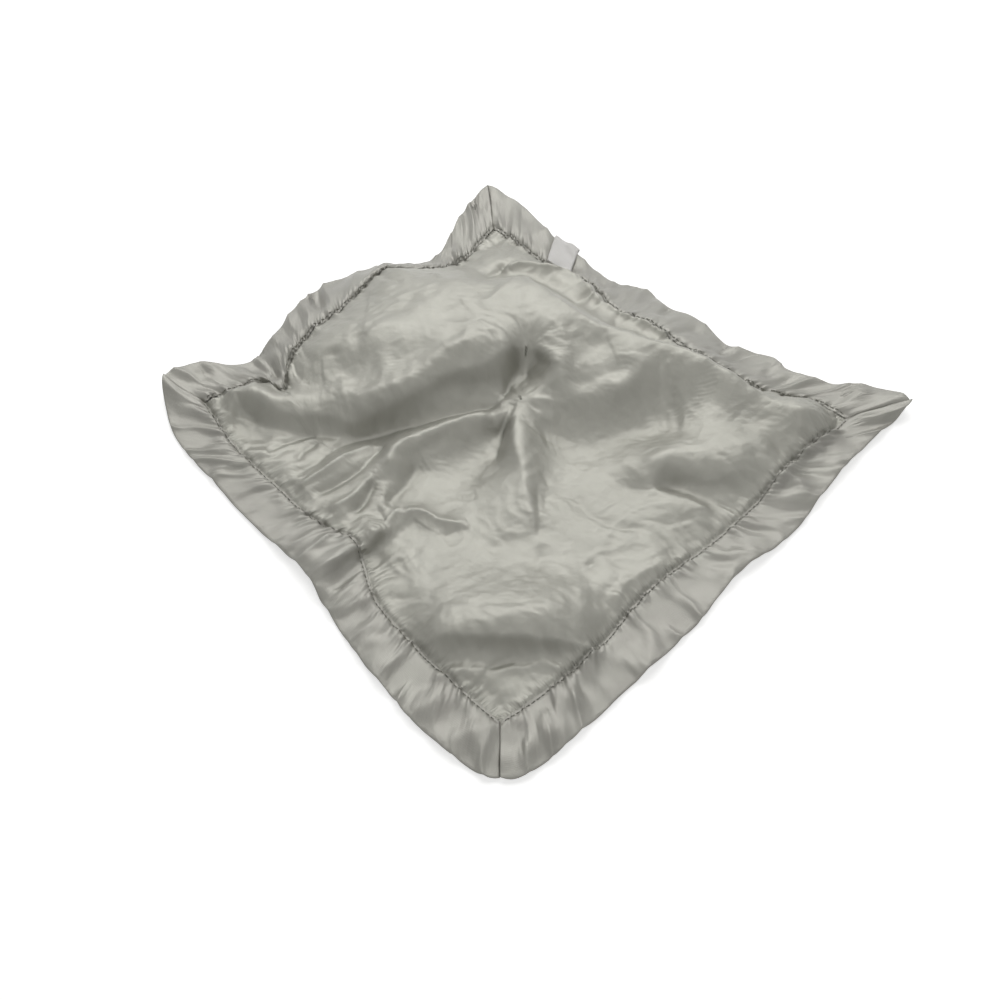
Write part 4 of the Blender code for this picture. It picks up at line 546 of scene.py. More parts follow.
def panel_grid(cells):
    """Points and directions over the panel, first a square grid and then rings tucked into the ribbon."""
    steps = np.linspace(0.0, 1.0, cells + 1)
    u, v = np.meshgrid(steps, steps, indexing="ij")
    plan = panel_plan(u, v)
    gathers = np.zeros_like(u)
    across = 2 * PANEL_HALF
    for side, run, reach in (("front", u, v), ("right", v, 1 - u), ("back", u, 1 - v), ("left", v, u)):
        gathers += puckers(run * seam_length(side), -reach * across, seam_seeds[side])
    index = np.arange((cells + 1) ** 2).reshape(cells + 1, cells + 1)
    edges = {"front": index[:, 0], "right": index[-1, :], "back": index[::-1, -1], "left": index[0, ::-1]}
    plans, lifts, maps = [plan.reshape(-1, 2)], [gathers.ravel()], [np.stack([u, v], -1).reshape(-1, 2)]
    outward = {"front": (0, -1), "right": (1, 0), "back": (0, 1), "left": (-1, 0)}
    for out in (TUCK_DEPTH * 0.5, TUCK_DEPTH):
        for side in sides:
            places = (steps if side in ("front", "right") else steps[::-1])[:-1]
            reach = np.full(len(places), out)
            plans.append(ribbon_plan(side, places, reach))
            lifts.append(puckers(places * seam_length(side), reach, seam_seeds[side]))
            maps.append(maps[0][edges[side][:-1]] + np.array(outward[side]) * out / across)
    plan, gathers = np.concatenate(plans), np.concatenate(lifts)
    faces = [(index[i, j], index[i + 1, j], index[i + 1, j + 1], index[i, j + 1])
             for i in range(cells) for j in range(cells)]
    ring = np.concatenate([edges[side][:-1] for side in sides])
    for turn in range(2):
        further = (cells + 1) ** 2 + turn * len(ring) + np.arange(len(ring))
        faces += list(zip(further, np.roll(further, -1), np.roll(ring, -1), ring))
        ring = further
    return cloth(plan, gathers), up_from_cloth(plan), faces, ring, np.concatenate(maps)


def add_piece(name, stands_for, points, faces, material, body="blanket", maps=None):
    """A smooth mesh object that rides on a body and takes the place of the node that it stands for."""
    mesh = bpy.data.meshes.new(name)
    mesh.from_pydata([tuple(map(float, p)) for p in points], [], [tuple(map(int, f)) for f in faces])
    if maps is not None:
        layer = mesh.uv_layers.new(name="cloth")
        corners = np.empty(len(mesh.loops), int)
        mesh.loops.foreach_get("vertex_index", corners)
        layer.data.foreach_set("uv", np.asarray(maps)[corners].ravel())
    mesh.shade_smooth()
    mesh.materials.append(material)
    piece = bpy.data.objects.new(name, mesh)
    bpy.context.scene.collection.objects.link(piece)
    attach(piece, body)
    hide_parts(stands_for)
    return piece


def two_sided(upper, lower, faces, rim):
    """Points and faces of a closed cloth from its upper and lower side and the ring at its edge."""
    count = len(upper)
    closed = list(faces) + [tuple(reversed([count + k for k in face])) for face in faces]
    for a, b in zip(rim, np.roll(rim, -1)):
        closed.append((a, count + a, count + b, b))
    return np.concatenate([upper, lower]), closed


def linear(hex_colour):
    """The linear RGBA of an sRGB hex colour."""
    parts = [int(hex_colour[k:k + 2], 16) / 255 for k in (1, 3, 5)]
    return (*(c / 12.92 if c <= 0.04045 else ((c + 0.055) / 1.055) ** 2.4 for c in parts), 1.0)


def add_node(tree, kind, inputs=(), **settings):
    """A shader node with its settings, and its inputs as values or as links from other sockets."""
    made = tree.nodes.new("ShaderNode" + kind)
    for key, value in settings.items():
        setattr(made, key, value)
    for key, value in dict(inputs).items():
        if isinstance(value, bpy.types.NodeSocket):
            tree.links.new(value, made.inputs[key])
        else:
            made.inputs[key].default_value = value
    return made


def new_material(name):
    """A material with an output and nothing else, and its node tree."""
    material = bpy.data.materials.new(name)
    material.use_nodes = True
    tree = material.node_tree
    tree.nodes.remove(tree.nodes["Principled BSDF"])
    return material, tree


def finish_material(material, inputs, kind="BsdfPrincipled"):
    """The material with a shader of these inputs on its output."""
    tree = material.node_tree
    surface = add_node(tree, kind, inputs)
    tree.links.new(surface.outputs[0], tree.nodes["Material Output"].inputs["Surface"])
    return material


def math_node(tree, operation, first, second):
    """The result of a sum of two values or sockets."""
    return add_node(tree, "Math", {0: first, 1: second}, operation=operation).outputs[0]


def spread(tree, value, low, high, out_low=0.0, out_high=1.0):
    """A value between low and high spread over the range from out_low to out_high."""
    return add_node(tree, "MapRange", {"Value": value, "From Min": low, "From Max": high,
                                       "To Min": out_low, "To Max": out_high}).outputs[0]


def mixed_colour(tree, share, dark, light):
    """A colour from dark to light by the share."""
    return add_node(tree, "Mix", {0: share, 6: linear(dark), 7: linear(light)}, data_type="RGBA").outputs[2]


def bumped(tree, height, strength, distance, normal=None):
    """A normal bent by a height; what it adds to is the normal given, or else the mesh's own."""
    inputs = {"Strength": strength, "Distance": distance, "Height": height}
    if normal is not None:
        inputs["Normal"] = normal
    return add_node(tree, "Bump", inputs).outputs["Normal"]


def fine_gathers(tree, coords, turned, far):
    """Height of the gathers at a seam that are too fine for the mesh: 1.3 mm apart, fading 8 mm from it."""
    reach = add_node(tree, "SeparateXYZ", {0: coords}).outputs["X" if turned else "Y"]
    near = math_node(tree, "MINIMUM", reach, math_node(tree, "SUBTRACT", far, reach))
    fade = spread(tree, near, 0.0, 0.028, 1.0, 0.0)
    stretch = (24, 210, 1) if turned else (210, 24, 1)
    stretched = add_node(tree, "Mapping", {"Vector": coords, "Scale": stretch}).outputs[0]
    gathers = add_node(tree, "TexNoise", {"Vector": stretched, "Scale": 1.0, "Detail": 2.0}).outputs["Fac"]
    return math_node(tree, "MULTIPLY", gathers, math_node(tree, "MULTIPLY", fade, fade))


def satin_material(name, face, shade, seams):
    """Polyester satin: its long floats throw light like brushed metal: dark slopes and bright crests."""
    material, tree = new_material(name)
    coords = add_node(tree, "UVMap", uv_map="cloth").outputs["UV"]
    # threads lie 0.09 mm apart, too fine to show, so they are drawn 0.3 mm apart and uneven
    threads = add_node(tree, "TexWave", {"Vector": coords, "Scale": 150.0, "Distortion": 6.0, "Detail": 4.0,
                                         "Detail Scale": 2.5, "Detail Roughness": 0.8},
                       wave_type="BANDS", bands_direction="Y").outputs["Fac"]
    rub = add_node(tree, "TexNoise", {"Vector": coords, "Scale": 26.0, "Detail": 6.0,
                                      "Roughness": 0.62}).outputs["Fac"]
    cloud = add_node(tree, "TexNoise", {"Vector": coords, "Scale": 7.0, "Detail": 3.0,
                                        "Roughness": 0.5}).outputs["Fac"]
    tone = spread(tree, math_node(tree, "ADD", rub, cloud), 0.75, 1.25)
    normal = bumped(tree, rub, 0.5, 0.0008, bumped(tree, threads, 0.2, 0.0002))
    for turned, far in seams:
        normal = bumped(tree, fine_gathers(tree, coords, turned, far), 1.0, 0.0022, normal)
    return finish_material(material, {
        "Base Color": mixed_colour(tree, tone, shade, face),
        "Roughness": spread(tree, rub, 0.3, 0.7, 0.36, 0.46), "Metallic": 0.35,
        "Sheen Weight": 0.08, "Sheen Roughness": 0.4, "Normal": normal})


satin = satin_material("polyester satin", "#A9A89F", "#9E9D94", [(False, 1.0), (True, 1.0)])
panel_points, panel_ways, panel_faces, panel_rim, panel_map = panel_grid(PANEL_CELLS)
satin_top = panel_points + panel_ways * SATIN_FACE
satin_under = panel_points + panel_ways * (SATIN_FACE - SATIN_THICKNESS)
points, faces = two_sided(satin_top, satin_under, panel_faces, panel_rim)
satin_panel = add_piece("satin_panel_cloth", "satin_panel", points, faces, satin,
                        maps=np.concatenate([panel_map, panel_map]))


# Plush panel
# The under cloth: knitted polyester plush with a short soft pile, which faces the table and the head.
# It is as large as the satin, with the pile pressed flat where the ribbon holds it.

PLUSH_THICKNESS = 0.003
PLUSH_SEAM_THICKNESS = 0.0016
PLUSH_PRESSED_BY = 0.0009  # how much thinner the head presses it
PLUSH_SPAN = 0.0006  # how far it may hang below the satin's smallest folds
LEAF_ROOM = 0.0004  # its height over the lower leaf of the ribbon
PLUSH_CELLS = 112


def plush_material(name, tip, root):
    """Knitted plush: short upright fibres that scatter light, pale at their tips, with painted shade between
    them and over brushed patches.
    """
    material, tree = new_material(name)
    coords = add_node(tree, "TexCoord").outputs["Object"]
    # fibre tufts stand about 0.7 mm apart, in clumps about 3 mm wide, brushed this way and that over 15 mm;
    # the colour is darkened between the tufts and in the brushed patches as painted shade
    tufts = add_node(tree, "TexNoise", {"Vector": coords, "Scale": 1100.0, "Detail": 3.0,
                                        "Roughness": 0.6}).outputs["Fac"]
    clumps = add_node(tree, "TexNoise", {"Vector": coords, "Scale": 260.0, "Detail": 4.0,
                                         "Roughness": 0.6}).outputs["Fac"]
    brushed = add_node(tree, "TexNoise", {"Vector": coords, "Scale": 45.0, "Detail": 2.0}).outputs["Fac"]
    pile = math_node(tree, "MULTIPLY", tufts, clumps)
    brushed = spread(tree, brushed, 0.35, 0.65, 0.75)
    # painted shade: the colour falls towards the dark root colour between tufts and where the pile is brushed
    tone = math_node(tree, "MULTIPLY", spread(tree, pile, 0.15, 0.36), brushed)
    return finish_material(material, {
        "Base Color": mixed_colour(tree, tone, root, tip), "Roughness": 0.95, "Sheen Weight": 0.5,
        "Sheen Roughness": 0.5, "Specular IOR Level": 0.2, "Normal": bumped(tree, pile, 0.7, 0.0012)})


# the second colour is the painted shade between the pile's tufts
plush = plush_material("knitted plush", "#CBC9BF", "#8F8D84")
points, ways, faces, rim, maps = panel_grid(PLUSH_CELLS)
inside = np.arange(len(points)) < (PLUSH_CELLS + 1) ** 2
u, v = maps[:, 0], maps[:, 1]
from_seam = np.minimum(np.minimum(u, 1 - u), np.minimum(v, 1 - v)) * 2 * PANEL_HALF
grown = np.where(inside, np.clip(from_seam / 0.008, 0.0, 1.0), 0.0)
thickness = PLUSH_SEAM_THICKNESS + (PLUSH_THICKNESS - PLUSH_SEAM_THICKNESS) * grown
thickness -= PLUSH_PRESSED_BY * np.clip((points[:, 2] - 0.010) / 0.006, 0.0, 1.0)
plush_top = points - ways * 0.0003


def around_each(heights):
    """Each height of a grid with its eight neighbours."""
    wider = np.pad(heights, 1, mode="edge")
    rows, columns = heights.shape
    return [wider[i:i + rows, j:j + columns] for i in range(3) for j in range(3)]


# the plush is too thick to follow the satin's smallest folds: it spans them from below
grid = plush_top[inside].reshape(PLUSH_CELLS + 1, PLUSH_CELLS + 1, 3)
low = grid[..., 2].copy()
for _ in range(2):
    low = np.min(around_each(low), axis=0)
for _ in range(3):
    low = np.mean(around_each(low), axis=0)
low = np.clip(low, grid[..., 2] - PLUSH_SPAN, grid[..., 2])
ease = np.clip(from_seam[inside] / 0.006, 0.0, 1.0)
plush_top[inside, 2] = low.ravel() * ease + plush_top[inside, 2] * (1 - ease)
pile = 0.0005 * uneven(points[:, 0] / 0.004, points[:, 1] / 0.004, 81) * inside
plush_under = plush_top - ways * (thickness + pile)[:, None]
plush_top[:, 2] = np.maximum(plush_top[:, 2], 2 * LEAF_ROOM)
floor_heights = np.where(inside & (from_seam > 0.0015), 0.0, LEAF_ROOM)
plush_under[:, 2] = np.maximum(plush_under[:, 2], floor_heights)
points, faces = two_sided(plush_top, plush_under, faces, rim)
plush_panel = add_piece("plush_panel_cloth", "plush_panel", points, faces, plush,
                        maps=np.concatenate([maps, maps]))


# Ribbon border
# Four lengths of wide satin ribbon, folded over the edge of both cloths, one along each side. Each is sewn
# through along its inner edges, puckers at that seam, ruffles at its fold, and ends in a mitre.

RIBBON_COLUMNS = 440
MITRE_GAP = 0.0001
MITRE_ROLL = 0.0006  # how far each face rolls in at a mitre
HEM_WAVE = 0.0012  # how far the fold's edge wanders in and out
TIP_LENGTH = 0.009
LEAF_SHARE = 0.35  # of the section's height, which a face keeps where the ribbon lies pressed on the table
# the section, from the inner edge of the upper leaf, round the fold and back below, then its inside:
# metres out from the seam and over the middle between the cloths
ribbon_section = [
    (0.0004, 0.00105), (-0.0001, 0.00118), (-0.0003, 0.00150), (0.0000, 0.00185), (0.0007, 0.00200),
    (0.0014, 0.00160), (0.0021, 0.00195), (0.0034, 0.00225), (0.0052, 0.00232), (0.0078, 0.00222),
    (0.0105, 0.00202), (0.0135, 0.00182), (0.0170, 0.00160), (0.0205, 0.00138), (0.0240, 0.00116),
    (0.0270, 0.00096), (0.0290, 0.00082), (0.0301, 0.00070), (0.0308, 0.00045), (0.0310, 0.0),
    (0.0308, -0.00045), (0.0301, -0.00070), (0.0285, -0.00095), (0.0240, -0.00130), (0.0180, -0.00165),
    (0.0120, -0.00205), (0.0085, -0.00260), (0.0050, -0.00280), (0.0020, -0.00285), (0.0000, -0.00280),
    (-0.0002, -0.00250), (0.0002, -0.00225), (0.0086, -0.00215), (0.0105, -0.00080), (0.0200, -0.00035),
    (0.0293, 0.0), (0.0200, 0.00035), (0.0105, 0.00080), (0.0086, 0.00110)]
# how far each corner's tip is rounded off
tip_rounding = {("front", 0): 0.0022, ("front", 1): 0.0036, ("right", 0): 0.0036, ("right", 1): 0.0020,
                ("back", 1): 0.0020, ("back", 0): 0.0010, ("left", 1): 0.0010, ("left", 0): 0.0022}


def ribbon_points(side, places, outs, lifts):
    """Points on a ribbon, one row for each distance out and lift off the middle between the cloths."""
    places, outs, lifts = np.asarray(places, float), np.asarray(outs, float), np.asarray(lifts, float)
    length = seam_length(side)
    run, reach = np.meshgrid(places * length, outs, indexing="xy")
    place = np.broadcast_to(places, run.shape)
    share = np.clip(reach / RIBBON_WIDTH, 0.0, 1.0)
    out = reach + HEM_WAVE * share**2 * uneven(run / 0.019, 0.3, seam_seeds[side] + 5)
    for end in (0, 1):
        near = np.clip(1 - np.abs(run - end * length) / TIP_LENGTH, 0.0, 1.0)
        out = out - share**2 * tip_rounding[side, end] * near**2
    plan = ribbon_plan(side, place, out)
    points = cloth(plan, puckers(run, reach, seam_seeds[side]))
    rolled = MITRE_ROLL * np.exp(-np.minimum(run, length - run) / 0.0009)
    lift = lifts[:, None] - rolled * np.sign(lifts)[:, None]
    points = points + up_from_cloth(plan) * lift[..., None]
    # the lower leaf lies on the table and the other faces stay above it
    points[..., 2] = np.maximum(points[..., 2], LEAF_SHARE * (lifts - lifts.min())[:, None])
    return points


def gather_ends(places, length):
    """More places near both ends, where the ribbon rolls down into its mitre."""
    close = np.array([0.0, 0.0004, 0.0009, 0.0016, 0.0026]) / length
    end = 0.004 / length
    return np.concatenate([close, places[(places > end) & (places < 1 - end)], 1 - close[::-1]])


ribbon_satin = satin_material("satin ribbon", "#9F9E96", "#94928B", [(False, 0.229)])
for side in sides:
    length = seam_length(side)
    places = gather_ends(np.linspace(0.0, 1.0, RIBBON_COLUMNS), length)
    outs, lifts = np.array(ribbon_section).T
    grid = ribbon_points(side, places, outs, lifts)
    for end, inward in ((0, 1), (-1, -2)):
        way = grid[:, inward] - grid[:, end]
        way /= np.linalg.norm(way, axis=-1, keepdims=True)
        grid[:, end] += way * MITRE_GAP / 2
    rows, columns = grid.shape[:2]
    index = np.arange(rows * columns).reshape(rows, columns)
    below = np.roll(index, -1, axis=0)
    faces = [(index[r, c], index[r, c + 1], below[r, c + 1], below[r, c])
             for r in range(rows) for c in range(columns - 1)]
    faces += [tuple(index[:, 0]), tuple(index[::-1, -1])]
    if side in ("front", "right"):
        faces = [face[::-1] for face in faces]
    # the satin's pattern runs along the ribbon, and 2 mm further round it with each row
    maps = np.stack([np.broadcast_to(places * length, (rows, columns)),
                     np.broadcast_to(np.arange(rows)[:, None] * 0.002, (rows, columns))], -1).reshape(-1, 2)
    ribbon = add_piece("ribbon_" + side, "border_" + side, grid.reshape(-1, 3), faces, ribbon_satin,
                       maps=maps / (2 * PANEL_HALF))


# Ribbon stitches
# One row of lockstitch along the inner edge of each ribbon, through both leaves and both cloths, in grey
# polyester thread, coloured darker as painted shade of the groove it sinks into. Every stitch sinks at its
# ends and pulls the ribbon into a pucker.

STITCH_LENGTH = 0.0025
STITCH_PITCH = 0.0031
STITCH_OUT = 0.0014  # of the row of stitches from the seam
STITCH_LIFT = 0.0016  # of the ribbon's face there over the middle between the cloths
SEAM_END = 0.003  # from a mitre to the first stitch
THREAD_RADIUS = 0.00028
TUBE_SIDES = 6
# along a stitch, the thread comes up out of one hole and goes down into the next
stitch_shares = np.array([0.0, 0.12, 0.35, 0.65, 0.88, 1.0])
stitch_rise = np.array([-0.0003, 0.0001, 0.0003, 0.0003, 0.0001, -0.0003])


def fibre_material(name, light, dark, pattern, bump, roughness, sheen):
    """Thread or loose fibre: a pattern shades it and stands up by the bump's strength and distance."""
    material, tree = new_material(name)
    coords = add_node(tree, "TexCoord").outputs["Object"]
    kind, inputs, settings = pattern
    height = add_node(tree, kind, {"Vector": coords, **inputs}, **settings).outputs["Fac"]
    return finish_material(material, {
        "Base Color": mixed_colour(tree, height, dark, light), "Roughness": roughness, "Sheen Weight": sheen,
        "Normal": bumped(tree, height, *bump)})


def ring_faces(index):
    """Quads between the rings of points that the rows of an index hold."""
    further = np.roll(index, -1, axis=1)
    return [(index[r, k], index[r + 1, k], further[r + 1, k], further[r, k])
            for r in range(len(index) - 1) for k in range(index.shape[1])]


def tube(path, radius, closed=False):
    """Points and faces of a thread along a path, pointed at both ends unless it is closed."""
    path = np.asarray(path, float)
    ahead = np.roll(path, -1, 0) - np.roll(path, 1, 0) if closed else np.gradient(path, axis=0)
    ahead /= np.linalg.norm(ahead, axis=-1, keepdims=True)
    aside = np.cross(ahead, [0.0, 0.0, 1.0])
    flat = np.linalg.norm(aside, axis=-1, keepdims=True)
    aside = np.where(flat > 1e-4, aside / np.maximum(flat, 1e-9), [1.0, 0.0, 0.0])
    above = np.cross(aside, ahead)
    size = np.full(len(path), radius)
    if not closed:
        size[0] = size[-1] = radius * 0.45
    turns = np.arange(TUBE_SIDES) * math.tau / TUBE_SIDES
    ring = np.cos(turns)[None, :, None] * aside[:, None] + np.sin(turns)[None, :, None] * above[:, None]
    points = (path[:, None] + ring * size[:, None, None]).reshape(-1, 3)
    index = np.arange(len(points)).reshape(-1, TUBE_SIDES)
    if closed:
        return points, ring_faces(np.concatenate([index, index[:1]]))
    return points, ring_faces(index) + [tuple(index[0]), tuple(index[-1, ::-1])]


def join_tubes(tubes):
    """All tubes as the points and faces of one mesh."""
    points, faces, count = [], [], 0
    for some_points, some_faces in tubes:
        points.append(some_points)
        faces += [tuple(count + k for k in face) for face in some_faces]
        count += len(some_points)
    return np.concatenate(points), faces


# two plies twisted together, dull, with painted shade in the grooves between them; they cross the thread
# every 0.5 mm
twisted_plies = ("TexWave", {"Scale": 330.0, "Distortion": 1.0, "Detail": 1.0},
                 {"bands_direction": "DIAGONAL"})
# painted shade: this thread is darker than the tacking thread to stand for the shade of the seam's groove;
# the mitre and neck stitches use it too
thread = fibre_material("spun polyester thread", "#96958B", "#62615A", twisted_plies,
                        (0.4, 0.0001), 0.55, 0.1)
for side in sides:
    length = seam_length(side)
    sewn = length - 2 * SEAM_END
    count = int(sewn / STITCH_PITCH)
    starts = SEAM_END + np.arange(count) * sewn / count
    runs = (starts[:, None] + stitch_shares[None] * STITCH_LENGTH).ravel()
    row = ribbon_points(side, runs / length, [STITCH_OUT], [STITCH_LIFT])[0].reshape(count, -1, 3)
    row[..., 2] += stitch_rise
    points, faces = join_tubes([tube(path, THREAD_RADIUS) for path in row])
    add_piece("lockstitch_" + side, "stitches_" + side, points, faces, thread)


# Mitre seams
# The two ribbons that meet at a corner are closed along the mitre with a slip stitch, drawn tight so that
# only a thin groove with short bars of thread shows.

MITRE_END = 0.0012  # from the seam, and from the ribbon's fold, to the ends of the slip stitch
MITRE_SINK = 0.00055  # of the thread below the ribbon's face
MITRE_THREAD_RADIUS = 0.00022
# the rows of the section that make the outer face of the upper leaf
leaf_outs, leaf_lifts = np.array(ribbon_section[3:19]).T

corners = {"left": ("front", 0), "front": ("front", 1), "right": ("back", 1), "back": ("back", 0)}
for corner, (side, end) in corners.items():
    outs = np.linspace(MITRE_END, RIBBON_WIDTH - MITRE_END, 40)
    lifts = np.interp(outs, leaf_outs, leaf_lifts) - MITRE_SINK
    line = [ribbon_points(side, [float(end)], [out], [lift])[0, 0] for out, lift in zip(outs, lifts)]
    points, faces = tube(line, MITRE_THREAD_RADIUS)
    add_piece("slipstitch_" + corner, "mitre_stitches_" + corner, points, faces, thread)


# Tack stitches
# Two short bars of doubled thread that go through satin and plush and hold them to the toy's neck. They
# lie sunk in the dimples that they make.

TACK_LENGTH = 0.0045
TACK_THREAD_RADIUS = 0.0003
TACK_STRANDS_APART = 0.00064
TACK_SINK = 0.0011  # of each bar's ends below its middle
TACK_STEPS = 9

tack_thread = fibre_material("spun polyester tacking thread", "#ADACA2", "#8C8B82", twisted_plies,
                             (0.4, 0.0001), 0.55, 0.1)
steps = np.linspace(-0.5, 0.5, TACK_STEPS)
for name, middle, heading in (("rear", rear_tack_shares, 120), ("front", front_tack_shares, 150)):
    way = np.array([math.cos(math.radians(heading)), math.sin(math.radians(heading))])
    aside = np.array([-way[1], way[0]])
    strands = []
    for shift in (-TACK_STRANDS_APART / 2, TACK_STRANDS_APART / 2):
        plan = np.array(middle) + (steps[:, None] * TACK_LENGTH * way + shift * aside) / PANEL_HALF
        line = cloth(plan, np.zeros(TACK_STEPS)) + up_from_cloth(plan) * SATIN_FACE
        line[:, 2] += TACK_THREAD_RADIUS - TACK_SINK * np.abs(2 * steps) ** 4
        strands.append(tube(line, TACK_THREAD_RADIUS))
    points, faces = join_tubes(strands)
    add_piece("tack_" + name, "tack_stitch_" + name, points, faces, tack_thread)


# Care label
# A strip of white woven tape folded once, its two ends caught in the back seam. It lies out over the ribbon
# and its fold stands a little past the ribbon's. It's left plain.

LABEL_WIDTH = 0.018
LABEL_PLACE_SHARE = 0.222
LABEL_OVERHANG = 0.002
LABEL_START = 0.0022  # from the seam to where it comes out
LABEL_BEND = 0.0302  # from the seam to where it leaves the ribbon
LABEL_LEAN = 0.006  # how much nearer the right corner its fold lies than its root
LABEL_OFF_RIBBON = 0.0006
LABEL_LEAVES_APART = 0.00045
LABEL_THICKNESS = 0.0002
LABEL_ROWS = 30
LABEL_COLUMNS = 15


def tape_material(name, face, shade):
    """Woven tape: flat white threads, crossed, with a faint rib and a soft gloss."""
    material, tree = new_material(name)
    coords = add_node(tree, "UVMap", uv_map="cloth").outputs["UV"]
    # ribs lie 0.6 mm apart
    ribs = add_node(tree, "TexWave", {"Vector": coords, "Scale": 9.0, "Distortion": 0.6, "Detail": 2.0},
                    bands_direction="Y").outputs["Fac"]
    threads = add_node(tree, "TexWave", {"Vector": coords, "Scale": 11.0, "Distortion": 0.4},
                       bands_direction="X").outputs["Fac"]
    both = math_node(tree, "MULTIPLY", ribs, threads)
    return finish_material(material, {
        "Base Color": mixed_colour(tree, both, shade, face), "Roughness": 0.5, "Sheen Weight": 0.15,
        "Normal": bumped(tree, both, 0.4, 0.00015)})


label_tape = tape_material("woven tape", "#ECEBE8", "#CFCDC9")
back_length = seam_length("back")
label_outs = np.linspace(LABEL_START, RIBBON_WIDTH + LABEL_OVERHANG, LABEL_ROWS)
label_lifts = np.interp(label_outs, leaf_outs, leaf_lifts)
across = np.linspace(-1.0, 1.0, LABEL_COLUMNS)
half = LABEL_WIDTH / 2 / back_length
label_reach = RIBBON_WIDTH + LABEL_OVERHANG
rows = []
for out, lift in zip(label_outs, label_lifts):
    middle = LABEL_PLACE_SHARE + LABEL_LEAN / back_length * out / label_reach
    rows.append(ribbon_points("back", middle + across * half, [min(out, LABEL_BEND)], [lift])[0])
rows = np.array(rows)
# the tape is stiffer than the ribbon, so it follows only part of the ribbon's waves
slant = (rows[:, -1:] - rows[:, :1]) * (across * 0.175)[None, :, None]
rows = rows.mean(axis=1, keepdims=True) * 0.35 + rows * 0.65 + slant
away = rows[-6] - rows[-12]
away /= np.linalg.norm(away, axis=-1, keepdims=True)
rows += away * np.maximum(label_outs - LABEL_BEND, 0.0)[:, None, None]
curl = 0.0004 * np.clip((label_outs - 0.012) / 0.02, 0.0, 1.0) ** 2
belly = 0.0005 * np.sin(np.linspace(0, math.pi, LABEL_ROWS))
rise = np.array([0.0, 0.0, 1.0])
under_leaf = rows + rise * (LABEL_OFF_RIBBON + curl[:, None, None])
upper_leaf = under_leaf + rise * (LABEL_LEAVES_APART + belly)[:, None, None]
fold = (under_leaf[-1:] + upper_leaf[-1:]) / 2 + away[None] * 0.0005
strip = np.concatenate([under_leaf, fold, upper_leaf[::-1]])
slope = np.gradient(strip, axis=0)
normal = np.cross(slope, np.broadcast_to(rows[0, -1] - rows[0, 0], slope.shape))
normal *= LABEL_THICKNESS / 2 / np.linalg.norm(normal, axis=-1, keepdims=True)
outer, inner = strip - normal, strip + normal
count, wide = strip.shape[:2]
index = np.arange(count * wide).reshape(count, wide)
faces = [(index[i, j], index[i, j + 1], index[i + 1, j + 1], index[i + 1, j])
         for i in range(count - 1) for j in range(wide - 1)]
rim = np.concatenate([index[0, :-1], index[:-1, -1], index[-1, :0:-1], index[:0:-1, 0]])
maps = np.stack(np.meshgrid(np.arange(wide) / wide * 0.3, np.arange(count) / count, indexing="xy"), -1)
maps = maps.reshape(-1, 2)
points, faces = two_sided(outer.reshape(-1, 3), inner.reshape(-1, 3), faces, rim)
label = add_piece("label_tape", "care_label", points, faces, label_tape, "label",
                  maps=np.concatenate([maps, maps]) * 4)


# Toy's head
# A plush skin sewn from two halves, stuffed and closed at the neck against the plush panel. It lies face
# down under the cloth, with its crown towards the left corner.

HEAD_LENGTH = 0.098
HEAD_WIDTH = 0.071
HEAD_DEPTH = 0.024
SKIN_THICKNESS = 0.0012
SKIN_SEAM_DIP = 0.0007
HEAD_PILE = 0.0006
PILE_GRAIN = 0.0035
crown_shares = (-0.64, -0.125)
neck_shares = (0.02, 0.105)
# the head's sections from crown to neck: (place, width, depth, height) as shares
section_shares = [(0.0, 0.0, 0.0, 0.61), (0.035, 0.38, 0.40, 0.66), (0.11, 0.68, 0.70, 0.78),
                  (0.24, 0.91, 0.92, 0.92), (0.40, 1.0, 1.0, 1.0), (0.56, 0.98, 1.0, 1.0),
                  (0.70, 0.82, 0.86, 0.86), (0.82, 0.56, 0.68, 0.61), (0.92, 0.34, 0.54, 0.24),
                  (1.0, 0.25, 0.45, 0.0)]
joint_of = {joint["name"]: joint for joint in frame["record"]["behaviour"]["joints"]}
neck_middle = np.array(joint_of["head_turn"]["pos_m"])
crown_plan = np.array([*crown_shares, 0.0]) * PANEL_HALF - blanket_middle
neck_plan = np.array([*neck_shares, 0.0]) * PANEL_HALF - blanket_middle
head_along = (neck_plan - crown_plan) / np.linalg.norm(neck_plan - crown_plan)
head_across = np.array([head_along[1], -head_along[0], 0.0])
up = np.array([0.0, 0.0, 1.0])
MUZZLE_DEPTH = 0.0128
NOSE_DEPTH = 0.0026
muzzle_height = (MUZZLE_DEPTH + NOSE_DEPTH) / 2
MUZZLE_SINK = 0.0021  # of the muzzle into the face
head_height = muzzle_height + HEAD_DEPTH / 2 - MUZZLE_SINK
section_table = np.array(section_shares).T


def section_at(place):
    """Half width, half depth and middle height of the head at places from crown, 0, to neck, 1."""
    width, depth, share = (np.interp(place, section_table[0], row) for row in section_table[1:])
    height = neck_middle[2] + (head_height - neck_middle[2]) * share
    return width * HEAD_WIDTH / 2, depth * HEAD_DEPTH / 2, height


def head_section(place):
    """Middle, half width and half depth of the head at one place."""
    width, depth, height = section_at(place)
    return neck_plan + head_along * HEAD_LENGTH * (place - 1) + up * height, width, depth


def around_head(turns, wide=1.0, deep=1.0):
    """An oval round the head's length."""
    return np.cos(turns)[:, None] * wide * head_across + np.sin(turns)[:, None] * deep * up


def head_surface(places, turns, inset):
    """Points of the head's skin, inset from its outside, in rings from the crown to the neck."""
    rings = []
    for place in places:
        middle, width, depth = head_section(place)
        middle = middle + head_along * inset * (1 - 2 * place)
        rings.append(middle + around_head(turns, max(width - inset, 1e-5), max(depth - inset, 1e-5)))
    return np.array(rings)


